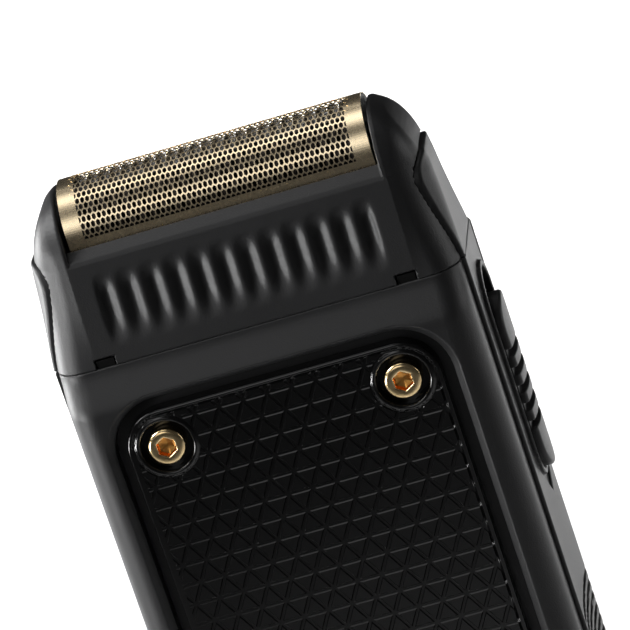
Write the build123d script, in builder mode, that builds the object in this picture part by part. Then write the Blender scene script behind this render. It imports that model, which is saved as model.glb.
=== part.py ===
"""Cordless foil shaver, millimetres.

X runs left to right seen from the front, the front faces -Y, and Z is up. The origin is the centre
of the flat base, below the foil's axis, so the foil's centre plane is Y = 0.
"""

import math
import os

from build123d import *

os.makedirs("parts", exist_ok=True)

# ---------------------------------------------------------------- driving sizes
total_height = 150.0  # base to the crown of the foil
head_height = 25.5  # seam between head and body to the crown of the foil
base_height = 5.0  # base cap below the shells
body_width = 61.5  # front shell, side to side
seam_front = 12.2  # front face at the seam, ahead of the foil's plane
rim_front = 14.5  # crown of the front shell round the plate
back_depth = 15.5  # back face, behind the foil's plane
split_front = 8.0  # joint face between front and rear shell
rear_proud = 0.65  # rear shell stands out past the front shell at the joint
rear_bulge = 0.6  # further swell of the rear shell's side
rear_corner = 9.0  # back corner radius in plan
shell_wall = 2.0
floor_wall = 1.8  # plate seat of the front shell
front_slope_run = 4.6  # width of the slope down each side of the front shell
front_shoulder = 1.2  # side of the front shell ahead of the joint face, before the slope
front_shoulder_fillet = 1.4
front_crown_fillet = 2.2
rim_level_margin = 0.6  # level part of the crown above and below the recess
rim_ease_fillet = 4.0
inner_shoulder = 0.3
inner_slope_run = 2.4
rear_bulge_fillet = 12.0
back_ease = 11.0  # height over which the back eases in to the seam and to the base cap
back_ease_fillet = 12.0
corner_run = (2.6, 3.0)  # corner of the base cap and of the head, along X and along Y
corner_fillet = 1.8
foot_fillet = 1.2
fit_gap = 0.1  # pieces that are pushed together
slide_gap = 0.2  # pieces that slide past each other

# front plate and its screws
plate_side_gap = 6.95  # body side to the plate's edge
plate_corner = 6.0
plate_thickness = 1.6
plate_top_gap = 7.7  # plate's top edge below the seam
plate_bottom = 15.2
plate_groove = 1.8  # dark groove round the plate
plate_setback = 0.5  # plate's face behind the rim
screw_inset = 5.8  # plate edge to screw centre, all round
screw_head_radius = 2.75
screw_head_height = 2.4
screw_radius = 1.5
screw_socket_flats = 2.5
screw_reach = 9.0
well_radius = 3.9
well_depth = 2.0
well_boss_wall = 0.8

# head
ear_width = 7.05  # body side to the inner face of an ear
head_side_proud = 0.1  # head beyond the front shell's side at the seam
# Where the side of an ear starts to curve in, bows and ends: inwards from the body side, above the seam.
ear_shoulder = (0.85, 12.5)
ear_bow = (2.15, 18.8)
ear_crown = (6.05, 24.9)
band_bottom = 15.4  # lower edge of the bevelled band, above the seam
band_top = 17.0
band_front = 9.6
band_edge = 8.0
head_side_wall = 4.5
head_front_wall = 1.9
head_plan_margin = 0.5  # plan outline of the corners beyond the faces that trim it
head_corner_fillet = 1.4
notch_inset = 9.45  # body side to the notch's inner end
notch_width = 3.1
notch_height = 1.4
tab_gap = 0.2
tab_setback = 0.3  # key tab behind the head's face
flute_count = 12
flute_pitch = 3.6
flute_radius = 1.7
flute_depth = 0.55
flute_low = 3.2
flute_high = 12.2

# foil and foil frame
foil_radius = 7.5
foil_wall = 0.3
foil_end_gap = 0.5  # foil to ear
foil_float_travel = 1.2
frame_flange_height = 1.5
frame_flange_y = 8.1
frame_end_wall = 1.2
foil_opening_y = 7.8
flange_top = 11.8  # shoulder in the head that stops the foil frame, above the seam
retainer_level = 3.5
retainer_height = 1.2
retainer_gap = (2.5, 1.0)  # ring to the rail blocks and to the bridge
retainer_margin = 1.3
clip_room = 0.8  # cut-outs of the ring round the clips

# cutter and drive
cutter_gap = 0.25  # blades to foil
cutter_end_gap = 2.7  # blades' end to the foil's end
blade_count = 24
blade_thickness = 0.7
blade_core_radius = 4.6
blade_seat_drop = 2.0  # blade seat below the foil's axis
carrier_height = 2.5
carrier_half_depth = 5.5
drive_stroke = 1.0  # each way
bridge_half_width = 11.0
bridge_half_depth = 7.0
bridge_height = 4.3
bridge_lift = 1.5  # above the deck
rail_radius = 1.0
rail_y = 5.0
rail_run_gap = 0.03
rail_block_inner = 16.0
rail_block_width = 3.0
rail_block_height = 5.5
post_half_width = 2.5
post_half_depth = 2.0
post_height = 6.3
post_gap = 0.05
socket_wall = 1.4
socket_lift = 1.5  # carrier's socket above the bridge with the foil pressed in
spring_peg_height = 1.2
cutter_spring_x = 9.0

# motor
motor_radius = 9.0
motor_length = 32.0
motor_wall = 0.8
motor_top = 106.0
motor_end_height = 4.0
rotor_radius = 7.4
shaft_radius = 1.0
shaft_run_gap = 0.04
cam_radius = 4.5
cam_height = 4.0
cam_deck_gap = 2.0
cam_pin_radius = 1.0
cam_clearance = 0.2
bracket_height = 2.5
bracket_leg_inner = 12.3
bracket_leg_width = 2.6
bracket_half_depth = 6.0

# battery, board and switch
battery_radius = 9.0
battery_length = 50.0
battery_bottom = 20.0
tab_thickness = 0.3
board_side_gap = 6.75  # body side to the board's inner face
board_thickness = 1.2
board_length = 51.5
board_deck_gap = 10.0
board_back = 11.0
board_rib = (4.5, 4.0)  # rib that holds the board's back edge, along X and along Y
board_rib_height = 4.0
board_rib_inset = 6.0  # from the board's ends
board_rib_shift = 0.8
slider_length = 28.0
slider_width = 9.4
slider_top_drop = 9.5  # slider's top end below the seam
slider_travel = 4.0
slider_y = 1.5
slider_proud = 1.5
slider_pocket_depth = 1.3
rib_count = 4
rib_pitch = 3.2
stem_length = 5.0
stem_depth = 3.0
knob_length = 3.0
grip_count = 24
grip_pitch = 1.9
grip_top_drop = 57.5  # first side groove below the seam

# small screws
small_screw_radius = 1.0
small_head_radius = 1.8
small_head_height = 1.2
drive_slot = 0.5  # width of the cross slots in the small screws
boss_radius = 2.8
case_screw_x = 16.0
case_screw_levels = (38.0, 92.0)
deck_screw_inset = 8.25  # body side to the upright posts
deck_screw_y = 6.5
deck_height = 3.0
post_reach = 8.5  # upright screw posts
spigot_height = 4.0  # base cap's spigot inside the shells

# catches of the deck, and the clips and release buttons of the head
catch_height = 4.5
catch_gap = 0.35  # catch to the wall of the head's cavity
catch_wall = 0.8
catch_half_depth = 2.5
catch_lip = 0.6
catch_lip_height = 1.0
clip_wall = 0.5
clip_hook_height = 1.4
clip_foot_gap = 1.2  # button's stem to the clip's foot
button_height = 16.3
button_half_depth = 8.0
button_corner = 4.5
button_proud = 0.6
button_sink = 1.2
button_travel = 0.8
button_gap = 0.15
button_stem_level = 6.3  # stem's middle, above the seam
button_stem_height = 1.8
button_stem_half = 2.0
button_spring_radius = 2.9

# charging socket in the base cap
socket_half_width = 4.5
socket_half_depth = 1.65
socket_wall_port = 0.4
socket_height = 7.4
socket_sink = 0.5
socket_y = 5.0

# dish round the switch, its raised rim, and the side grooves
small_screw_reach = 7.0
dish_depth = 0.6
dish_half_width = 7.5
rim_width = 0.9
grip_depth = 0.5
grip_middle = 1.5
grip_length = 17.0
grip_width = 0.8

# small pieces inside the body
window_radius = 1.2
window_length = 3.5
split_back = 8.0
tab_root = 9.4
deck_corner = 4.5
bracket_screw_x = 13.6
bracket_screw_reach = 5.0
motor_screw_x = 5.5
cradle_floor = 1.5
board_depth = 20.0
# Each component: from the board's back edge, from its lower end, width, length and height.
board_chips = (
    (6, 10, 5, 5, 1.2),
    (13, 16, 3, 4, 1.0),
    (8, 30, 6, 6, 1.6),
    (14, 36, 3, 3, 1.4),
    (7, 44, 4, 3, 1.0),
)
switch_height = 3.0
switch_depth = 6.5
knob_depth = 1.8
knob_reach = 1.6
rib_height = 1.1
rib_width = 1.5
slot_width = slider_width + 2 * slide_gap
cutter_spring_radius = 2.4
spring_wall = 0.5
foil_spring_inset = 2.25  # cavity wall to spring centre
foil_spring_y = 5.6
foil_spring_radius = 1.5

# ---------------------------------------------------------------- levels that follow
seam = total_height - head_height
half_width = body_width / 2
plate_half_width = half_width - plate_side_gap
ear_inner = half_width - ear_width
head_half_width = half_width + head_side_proud
notch_inner = half_width - notch_inset
foil_half_length = ear_inner - foil_end_gap
cutter_half_length = foil_half_length - cutter_end_gap
board_x = half_width - board_side_gap
deck_screw = (half_width - deck_screw_inset, deck_screw_y)
rear_half = half_width + rear_proud
rear_widest = rear_half + rear_bulge
inner_front = rim_front - plate_setback - plate_thickness - floor_wall
plate_face = rim_front - plate_setback
plate_back = plate_face - plate_thickness
plate_top = seam - plate_top_gap
screw_levels = (plate_bottom + screw_inset, plate_top - screw_inset)
screw_x = plate_half_width - screw_inset
recess_half_width = plate_half_width + plate_groove
recess_bottom = plate_bottom - plate_groove
recess_top = plate_top + plate_groove
foil_axis = total_height - foil_radius
foil_inner = foil_radius - foil_wall
cutter_radius = foil_inner - cutter_gap
deck_bottom = seam - deck_height
board_top = deck_bottom - board_deck_gap
board_bottom = board_top - board_length
bridge_bottom = seam + bridge_lift
bridge_top = bridge_bottom + bridge_height
blade_seat = foil_axis - blade_seat_drop
carrier_bottom = blade_seat - carrier_height
flange_ceiling = seam + flange_top
flange_floor = flange_ceiling - frame_flange_height
cavity_half = head_half_width - head_side_wall
catch_outer = cavity_half - catch_gap
foil_spring_x = cavity_half - foil_spring_inset
retainer_top = seam + retainer_level + retainer_height
slider_top = seam - slider_top_drop
slider_bottom = slider_top - slider_length
stem_bottom = slider_bottom + slider_length * 0.4
rear_inner = rear_half - shell_wall
back_inner = back_depth - shell_wall
cam_top = deck_bottom - cam_deck_gap
recess_corner = plate_corner + plate_groove
spigot_top = base_height + spigot_height
shell_length = seam - base_height
web_length = back_inner - deck_screw[1]
spigot_half_width = half_width - shell_wall - fit_gap
spigot_half_depth = seam_front - shell_wall


def export(builder, name):
    """Label a finished piece and write its STEP file."""
    builder.part.label = name
    export_step(builder.part, f"parts/{name}.step")


def front_plane(x, ahead, z):
    """A plane that faces the front, ahead of the foil's centre plane by a distance."""
    return Plane((x, -ahead, z), x_dir=(1, 0, 0), z_dir=(0, -1, 0))


def both_sides(half_points):
    """The closed outline whose +X half is given, from the middle round to the middle."""
    return half_points + [(-x, y) for x, y in reversed(half_points)]


def plan_front(inset):
    """Draw the plan outline of the front shell, moved inwards by inset."""
    slope_x = half_width - front_slope_run
    front = rim_front if inset == 0 else inner_front
    shoulder = split_front + (front_shoulder if inset == 0 else inner_shoulder)
    corner_x = slope_x if inset == 0 else half_width - inset - inner_slope_run
    half = [(half_width - inset, -split_front), (half_width - inset, -shoulder), (corner_x, -front)]
    with BuildSketch(Plane.XY.offset(base_height)) as outline:
        with BuildLine():
            Polyline(*both_sides(half), close=True)
        make_face()
        if inset == 0:
            fillet(outline.vertices().group_by(Axis.Y)[-2], front_shoulder_fillet)
            fillet(outline.vertices().group_by(Axis.Y)[0], front_crown_fillet)
    return outline.sketch


def side_profile_front():
    """Draw the front shell's side outline: level crown, easing back to the seam and the base cap."""
    with BuildSketch(Plane.YZ.offset(-body_width)) as profile:
        with BuildLine():
            Polyline(
                (-split_front, base_height),
                (-seam_front, base_height),
                (-rim_front, recess_bottom - rim_level_margin),
                (-rim_front, recess_top + rim_level_margin),
                (-seam_front, seam),
                (-split_front, seam),
                close=True,
            )
        make_face()
        fillet(profile.vertices().group_by(Axis.X)[0], rim_ease_fillet)
    return profile.sketch


def plan_rear(inset, level):
    """Draw the plan outline of the rear shell, moved inwards by inset."""
    half = [
        (rear_half - inset, -split_front),
        (rear_widest - inset, back_depth / 3),
        (rear_widest - inset, back_depth - inset),
    ]
    with BuildSketch(Plane.XY.offset(level)) as outline:
        with BuildLine():
            Polyline(*both_sides(half), close=True)
        make_face()
        fillet(outline.vertices().group_by(Axis.Y)[-2], rear_bulge_fillet)
        fillet(outline.vertices().group_by(Axis.Y)[-1], rear_corner - inset)
    return outline.sketch


def side_profile_rear(inset):
    """Draw the rear shell's side outline: level back, easing in to the seam and the base cap."""
    with BuildSketch(Plane.YZ.offset(-body_width)) as profile:
        with BuildLine():
            Polyline(
                (-split_front, base_height),
                (seam_front - inset, base_height),
                (back_depth - inset, base_height + back_ease),
                (back_depth - inset, seam - back_ease),
                (seam_front - inset, seam),
                (-split_front, seam),
                close=True,
            )
        make_face()
        fillet(profile.vertices().group_by(Axis.X)[-1], back_ease_fillet)
    return profile.sketch


# ---------------------------------------------------------------- front shell
with BuildPart() as front_shell:
    add(plan_front(0))
    extrude(amount=shell_length, dir=(0, 0, 1))
    add(side_profile_front())
    extrude(amount=2 * body_width, dir=(1, 0, 0), mode=Mode.INTERSECT)
    add(plan_front(shell_wall))
    extrude(amount=shell_length, dir=(0, 0, 1), mode=Mode.SUBTRACT)
    with BuildSketch(Plane.XZ.offset(plate_back)):
        with Locations((0, (recess_bottom + recess_top) / 2)):
            RectangleRounded(2 * recess_half_width, recess_top - recess_bottom, recess_corner)
    extrude(amount=rim_front, mode=Mode.SUBTRACT)
    with BuildSketch(Plane.XZ.offset(inner_front)):
        for level in screw_levels:
            with Locations((screw_x, level), (-screw_x, level)):
                Circle(well_radius + well_boss_wall + fit_gap)
        for level in case_screw_levels:
            with Locations((case_screw_x, level), (-case_screw_x, level)):
                Circle(small_screw_radius + fit_gap)
    extrude(amount=rim_front, mode=Mode.SUBTRACT)
    with BuildSketch(Plane.XZ.offset(plate_back - small_head_height)):
        for level in case_screw_levels:
            with Locations((case_screw_x, level), (-case_screw_x, level)):
                Circle(small_head_radius + fit_gap)
    extrude(amount=small_head_height, mode=Mode.SUBTRACT)
export(front_shell, "front_shell")

# ---------------------------------------------------------------- rear shell
slot_top = slider_top + slider_travel + slide_gap
slot_bottom = slider_bottom - slide_gap
slot_middle = (slot_top + slot_bottom) / 2
pocket_floor = rear_widest - slider_pocket_depth
stem_middle = stem_bottom + stem_length / 2
board_slots = (board_bottom + board_rib_inset, board_top - board_rib_inset)

with BuildPart() as hollow:
    add(plan_rear(shell_wall, base_height))
    extrude(amount=shell_length, dir=(0, 0, 1))
    add(side_profile_rear(shell_wall))
    extrude(amount=2 * body_width, dir=(1, 0, 0), mode=Mode.INTERSECT)

with BuildPart() as outer:
    add(plan_rear(0, base_height))
    extrude(amount=shell_length, dir=(0, 0, 1))
    add(side_profile_rear(0))
    extrude(amount=2 * body_width, dir=(1, 0, 0), mode=Mode.INTERSECT)

with BuildPart() as rear_shell:
    add(outer.part)
    add(hollow.part, mode=Mode.SUBTRACT)
    # Posts that the plate screws and the case screws are driven into.
    with BuildSketch(Plane.XZ.offset(plate_face - well_depth - well_boss_wall)):
        with Locations(*[(side * screw_x, level) for side in (1, -1) for level in screw_levels]):
            Circle(boss_radius)
    extrude(amount=-(plate_face - well_depth - well_boss_wall + back_inner + 0.5))
    with BuildSketch(Plane.XZ.offset(inner_front)):
        with Locations(*[(side * case_screw_x, level) for side in (1, -1) for level in case_screw_levels]):
            Circle(boss_radius)
    extrude(amount=-(inner_front + back_inner + 0.5))
    # Upright posts for the deck screws and the base screws, each with a web to the back wall.
    for low in (deck_bottom - post_reach, spigot_top):
        with BuildSketch(Plane.XY.offset(low)):
            with Locations((deck_screw[0], deck_screw[1]), (-deck_screw[0], deck_screw[1])):
                Circle(boss_radius)
            web_middle = deck_screw[1] + web_length / 2
            with Locations((deck_screw[0], web_middle), (-deck_screw[0], web_middle)):
                Rectangle(boss_radius, web_length)
        extrude(amount=post_reach)
    # Two slotted ribs hold the back edge of the circuit board.
    for level in board_slots:
        with BuildSketch(Plane.XY.offset(level)):
            with Locations((board_x + board_thickness / 2, board_back + board_rib_shift)):
                Rectangle(*board_rib)
        extrude(amount=board_rib_height)
    add(outer.part, mode=Mode.INTERSECT)
    with BuildSketch(Plane.YZ.offset(board_x)):
        with Locations((board_back - board_depth / 2, (board_bottom + board_top) / 2)):
            Rectangle(board_depth, board_top - board_bottom)
    extrude(amount=board_thickness, mode=Mode.SUBTRACT)
    # Screw holes.
    with BuildSketch(Plane.XZ.offset(plate_face)):
        with Locations(*[(side * screw_x, level) for side in (1, -1) for level in screw_levels]):
            Circle(screw_radius)
    extrude(amount=-(well_depth + screw_reach), mode=Mode.SUBTRACT)
    with BuildSketch(Plane.XZ.offset(plate_back)):
        with Locations(*[(side * case_screw_x, level) for side in (1, -1) for level in case_screw_levels]):
            Circle(small_screw_radius)
    extrude(amount=-screw_reach, mode=Mode.SUBTRACT)
    for low in (deck_bottom - small_screw_reach, spigot_top):
        with BuildSketch(Plane.XY.offset(low)):
            with Locations((deck_screw[0], deck_screw[1]), (-deck_screw[0], deck_screw[1])):
                Circle(small_screw_radius)
        extrude(amount=small_screw_reach, mode=Mode.SUBTRACT)
    # Dished area with a V end, then the raised rim and the pocket of the switch.
    with BuildSketch(Plane.YZ.offset(rear_widest - dish_depth)):
        with BuildLine():
            Polyline(
                (slider_y - dish_half_width, seam),
                (slider_y - dish_half_width, slot_bottom + dish_half_width / 2),
                (slider_y, slot_bottom - dish_half_width / 2),
                (slider_y + dish_half_width, slot_bottom + dish_half_width / 2),
                (slider_y + dish_half_width, seam),
                close=True,
            )
        make_face()
    extrude(amount=shell_wall, mode=Mode.SUBTRACT)
    slot_length = slot_top - slot_bottom
    with BuildSketch(Plane.YZ.offset(pocket_floor)):
        with Locations((slider_y, slot_middle)):
            SlotOverall(slot_length + 2 * rim_width, slot_width + 2 * rim_width, rotation=90)
    extrude(amount=rear_widest - pocket_floor)
    with BuildSketch(Plane.YZ.offset(pocket_floor)):
        with Locations((slider_y, slot_middle)):
            SlotOverall(slot_length, slot_width, rotation=90)
    extrude(amount=shell_wall * 2, mode=Mode.SUBTRACT)
    with BuildSketch(Plane.YZ.offset(rear_inner - shell_wall)):
        with Locations((slider_y, stem_middle + slider_travel / 2)):
            Rectangle(stem_depth + 2 * slide_gap, stem_length + slider_travel + 2 * slide_gap)
    extrude(amount=shell_wall * 3, mode=Mode.SUBTRACT)
    # Finger grooves across both sides.
    for side in (1, -1):
        with BuildSketch(Plane.YZ.offset(side * (rear_half - grip_depth / 2))):
            for index in range(grip_count):
                with Locations((grip_middle, seam - grip_top_drop - index * grip_pitch)):
                    Rectangle(grip_length, grip_width)
        extrude(amount=side * shell_wall * 2, mode=Mode.SUBTRACT)
export(rear_shell, "rear_shell")

# ---------------------------------------------------------------- base cap and its fittings
corner_x = half_width - corner_run[0]
with BuildPart() as base_cap:
    with BuildSketch() as foot:
        with BuildLine():
            Polyline(
                *both_sides([(half_width, corner_run[1] - seam_front), (corner_x, -seam_front)]),
                *[(-x, y) for x, y in both_sides([(rear_half, split_back), (corner_x, seam_front)])],
                close=True,
            )
        make_face()
        fillet(foot.vertices(), corner_fillet)
    extrude(amount=base_height)
    fillet(base_cap.faces().sort_by(Axis.Z)[0].edges(), foot_fillet)
    with BuildSketch(Plane.XY.offset(base_height)):
        RectangleRounded(2 * spigot_half_width, 2 * spigot_half_depth, deck_corner)
        Rectangle(
            2 * (spigot_half_width - shell_wall),
            2 * (spigot_half_depth - shell_wall),
            mode=Mode.SUBTRACT,
        )
    extrude(amount=spigot_height)
    # Plinth under each base screw post, and the screw's counterbore.
    with BuildSketch(Plane.XY.offset(base_height)):
        with Locations((deck_screw[0], deck_screw[1]), (-deck_screw[0], deck_screw[1])):
            Circle(boss_radius)
    extrude(amount=spigot_height)
    with BuildSketch():
        with Locations((deck_screw[0], deck_screw[1]), (-deck_screw[0], deck_screw[1])):
            Circle(small_screw_radius)
    extrude(amount=spigot_top, mode=Mode.SUBTRACT)
    with BuildSketch():
        with Locations((deck_screw[0], deck_screw[1]), (-deck_screw[0], deck_screw[1])):
            Circle(small_head_radius + fit_gap)
    extrude(amount=2 * small_head_height, mode=Mode.SUBTRACT)
    with BuildSketch():
        with Locations((0, socket_y)):
            RectangleRounded(2 * socket_half_width, 2 * socket_half_depth, socket_half_depth - 0.05)
    extrude(amount=base_height, mode=Mode.SUBTRACT)
    with BuildSketch(Plane.XZ.offset(seam_front)):
        with Locations((0, base_height / 2)):
            Circle(window_radius)
    extrude(amount=-window_length, mode=Mode.SUBTRACT)
export(base_cap, "base_cap")

with BuildPart() as base_screws:
    for side in (1, -1):
        spot = Plane((side * deck_screw[0], deck_screw[1], small_head_height))
        with BuildSketch(spot):
            Circle(small_head_radius)
        extrude(amount=small_head_height)
        with BuildSketch(spot):
            Circle(small_screw_radius)
        extrude(amount=spigot_top - small_head_height + small_screw_reach)
        with BuildSketch(spot):
            Rectangle(2 * small_screw_radius, drive_slot)
            Rectangle(drive_slot, 2 * small_screw_radius)
        extrude(amount=small_head_height / 2, mode=Mode.SUBTRACT)
export(base_screws, "base_screws")

with BuildPart() as charge_socket:
    with BuildSketch(Plane((0, socket_y, socket_sink))):
        RectangleRounded(2 * socket_half_width, 2 * socket_half_depth, socket_half_depth - 0.05)
    extrude(amount=socket_height)
    with BuildSketch(Plane((0, socket_y, socket_sink))):
        RectangleRounded(
            2 * (socket_half_width - socket_wall_port),
            2 * (socket_half_depth - socket_wall_port),
            socket_half_depth - socket_wall_port - 0.05,
        )
        Rectangle(1.5 * socket_half_width, 0.7, mode=Mode.SUBTRACT)
    extrude(amount=socket_height - 1, mode=Mode.SUBTRACT)
export(charge_socket, "charge_socket")

with BuildPart() as charge_window:
    with BuildSketch(Plane.XZ.offset(seam_front)):
        with Locations((0, base_height / 2)):
            Circle(window_radius)
    extrude(amount=-window_length)
export(charge_window, "charge_window")

# ---------------------------------------------------------------- front plate and screws
with BuildPart() as front_plate:
    with BuildSketch(Plane.XZ.offset(plate_back)):
        with Locations((0, (plate_bottom + plate_top) / 2)):
            RectangleRounded(2 * plate_half_width, plate_top - plate_bottom, plate_corner)
    extrude(amount=plate_thickness)
    with BuildSketch(Plane.XZ.offset(plate_back)):
        with Locations(*[(side * screw_x, level) for side in (1, -1) for level in screw_levels]):
            Circle(well_radius + well_boss_wall)
    extrude(amount=-(well_depth + well_boss_wall - plate_thickness))
    with BuildSketch(Plane.XZ.offset(plate_face)):
        with Locations(*[(side * screw_x, level) for side in (1, -1) for level in screw_levels]):
            Circle(well_radius)
    extrude(amount=-well_depth, mode=Mode.SUBTRACT)
    with BuildSketch(Plane.XZ.offset(plate_face)):
        with Locations(*[(side * screw_x, level) for side in (1, -1) for level in screw_levels]):
            Circle(screw_radius + fit_gap)
    extrude(amount=-(well_depth + well_boss_wall), mode=Mode.SUBTRACT)
export(front_plate, "front_plate")

with BuildPart() as plate_screws:
    for side in (1, -1):
        for level in screw_levels:
            seat = front_plane(side * screw_x, plate_face - well_depth, level)
            with BuildSketch(seat):
                Circle(screw_head_radius)
            extrude(amount=screw_head_height)
            chamfer(plate_screws.edges().filter_by(GeomType.CIRCLE).sort_by(Axis.Y)[0:1], 0.3)
            with BuildSketch(seat):
                Circle(screw_radius)
            extrude(amount=-screw_reach)
            with BuildSketch(seat.offset(screw_head_height)):
                RegularPolygon(screw_socket_flats / 2, 6, major_radius=False)
            extrude(amount=-screw_head_height * 0.6, mode=Mode.SUBTRACT)
export(plate_screws, "plate_screws")

with BuildPart() as case_screws:
    for side in (1, -1):
        for level in case_screw_levels:
            seat = front_plane(side * case_screw_x, plate_back - small_head_height, level)
            with BuildSketch(seat):
                Circle(small_head_radius)
            extrude(amount=small_head_height)
            with BuildSketch(seat):
                Circle(small_screw_radius)
            extrude(amount=-(screw_reach - small_head_height))
export(case_screws, "case_screws")

# ---------------------------------------------------------------- deck that closes the body's top
tab_front = seam_front - tab_setback
with BuildPart() as deck_plate:
    with BuildSketch(Plane.XY.offset(deck_bottom)):
        RectangleRounded(2 * spigot_half_width, 2 * spigot_half_depth, deck_corner)
    extrude(amount=deck_height)
    # Key tabs that stand up into the notches of the head.
    for side in (1, -1):
        with BuildSketch(Plane.XY.offset(seam)):
            with Locations((side * (notch_inner + notch_width / 2), -(tab_front + tab_root) / 2)):
                Rectangle(notch_width - 2 * tab_gap, tab_front - tab_root)
        extrude(amount=notch_height - tab_gap)
    # Catches for the head's clips: an upright post with a lip that faces inwards.
    for side in (1, -1):
        with BuildSketch(Plane.XY.offset(seam)):
            with Locations((side * (catch_outer - catch_wall / 2), 0)):
                Rectangle(catch_wall, 2 * catch_half_depth)
        extrude(amount=catch_height)
        with BuildSketch(Plane.XY.offset(seam + catch_height - catch_lip_height)):
            with Locations((side * (catch_outer - catch_wall - catch_lip / 2), 0)):
                Rectangle(catch_lip, 2 * catch_half_depth)
        extrude(amount=catch_lip_height)
    # Blocks that hold the guide rails.
    for side in (1, -1):
        with BuildSketch(Plane.XY.offset(seam)):
            with Locations((side * (rail_block_inner + rail_block_width / 2), 0)):
                Rectangle(rail_block_width, 2 * bridge_half_depth)
        extrude(amount=rail_block_height)
    rail_level = bridge_bottom + bridge_height / 2
    with BuildSketch(Plane.YZ.offset(-rail_block_inner - rail_block_width)):
        with Locations((rail_y, rail_level), (-rail_y, rail_level)):
            Circle(rail_radius)
    extrude(amount=2 * (rail_block_inner + rail_block_width), mode=Mode.SUBTRACT)
    # Hole for the eccentric pin, and the screw holes.
    with BuildSketch(Plane.XY.offset(deck_bottom)):
        Circle(drive_stroke + cam_pin_radius + 3 * cam_clearance)
        with Locations((deck_screw[0], deck_screw[1]), (-deck_screw[0], deck_screw[1])):
            Circle(small_screw_radius)
        with Locations((bracket_screw_x, 0), (-bracket_screw_x, 0)):
            Circle(small_screw_radius)
    extrude(amount=deck_height, mode=Mode.SUBTRACT)
export(deck_plate, "deck_plate")

with BuildPart() as deck_screws:
    for x, y, reach in (
        (deck_screw[0], deck_screw[1], small_screw_reach),
        (-deck_screw[0], deck_screw[1], small_screw_reach),
        (bracket_screw_x, 0, bracket_screw_reach),
        (-bracket_screw_x, 0, bracket_screw_reach),
    ):
        with BuildSketch(Plane((x, y, seam))):
            Circle(small_head_radius)
        extrude(amount=small_head_height)
        with BuildSketch(Plane((x, y, seam))):
            Circle(small_screw_radius)
        extrude(amount=-(deck_height + reach))
        with BuildSketch(Plane((x, y, seam + small_head_height))):
            Rectangle(2 * small_screw_radius, 0.5)
            Rectangle(0.5, 2 * small_screw_radius)
        extrude(amount=-small_head_height / 2, mode=Mode.SUBTRACT)
export(deck_screws, "deck_screws")

with BuildPart() as guide_rails:
    with BuildSketch(Plane.YZ.offset(-rail_block_inner - rail_block_width)):
        with Locations((rail_y, rail_level), (-rail_y, rail_level)):
            Circle(rail_radius)
    extrude(amount=2 * (rail_block_inner + rail_block_width))
export(guide_rails, "guide_rails")

# ---------------------------------------------------------------- motor and its bracket
motor_bottom = motor_top - motor_length
with BuildPart() as motor_can:
    with BuildSketch(Plane.XY.offset(motor_bottom)):
        Circle(motor_radius)
    extrude(amount=motor_length)
    with BuildSketch(Plane.XY.offset(motor_bottom)):
        Circle(motor_radius - motor_wall)
    extrude(amount=motor_length - 2 * motor_wall, mode=Mode.SUBTRACT)
    with BuildSketch(Plane.XY.offset(motor_bottom)):
        Circle(shaft_radius + shaft_run_gap)
        with Locations((motor_screw_x, 0), (-motor_screw_x, 0)):
            Circle(small_screw_radius * 0.8)
    extrude(amount=motor_length, mode=Mode.SUBTRACT)
export(motor_can, "motor_can")

with BuildPart() as motor_end_cap:
    with BuildSketch(Plane.XY.offset(motor_bottom - motor_end_height / 2)):
        Circle(motor_radius)
    extrude(amount=motor_end_height / 2)
    with BuildSketch(Plane.XY.offset(motor_bottom)):
        Circle(motor_radius - motor_wall)
    extrude(amount=motor_end_height / 2)
    with BuildSketch(Plane.XY.offset(motor_bottom - motor_end_height / 4)):
        Circle(shaft_radius + shaft_run_gap)
    extrude(amount=motor_end_height, mode=Mode.SUBTRACT)
export(motor_end_cap, "motor_end_cap")

with BuildPart() as motor_rotor:
    with BuildSketch(Plane.XY.offset(motor_bottom + motor_end_height)):
        Circle(rotor_radius)
        Circle(shaft_radius, mode=Mode.SUBTRACT)
        with PolarLocations(rotor_radius, 3, start_angle=30):
            Rectangle(1.6, 1.2, mode=Mode.SUBTRACT)
    extrude(amount=motor_length - motor_end_height - 4 * motor_wall)
export(motor_rotor, "motor_rotor")

with BuildPart() as motor_shaft:
    with BuildSketch(Plane.XY.offset(motor_bottom - motor_end_height / 4 + shaft_run_gap)):
        Circle(shaft_radius)
    extrude(amount=cam_top - 1 - motor_bottom + motor_end_height / 4 - shaft_run_gap)
export(motor_shaft, "motor_shaft")

with BuildPart() as eccentric_cam:
    with BuildSketch(Plane.XY.offset(cam_top - cam_height)):
        Circle(cam_radius)
    extrude(amount=cam_height)
    with BuildSketch(Plane.XY.offset(cam_top - cam_height)):
        Circle(shaft_radius)
    extrude(amount=cam_height - 1, mode=Mode.SUBTRACT)
    with BuildSketch(Plane.XY.offset(cam_top)):
        with Locations((drive_stroke, 0)):
            Circle(cam_pin_radius)
    extrude(amount=bridge_bottom - cam_top + bridge_height / 2 - cam_clearance)
export(eccentric_cam, "eccentric_cam")

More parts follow.
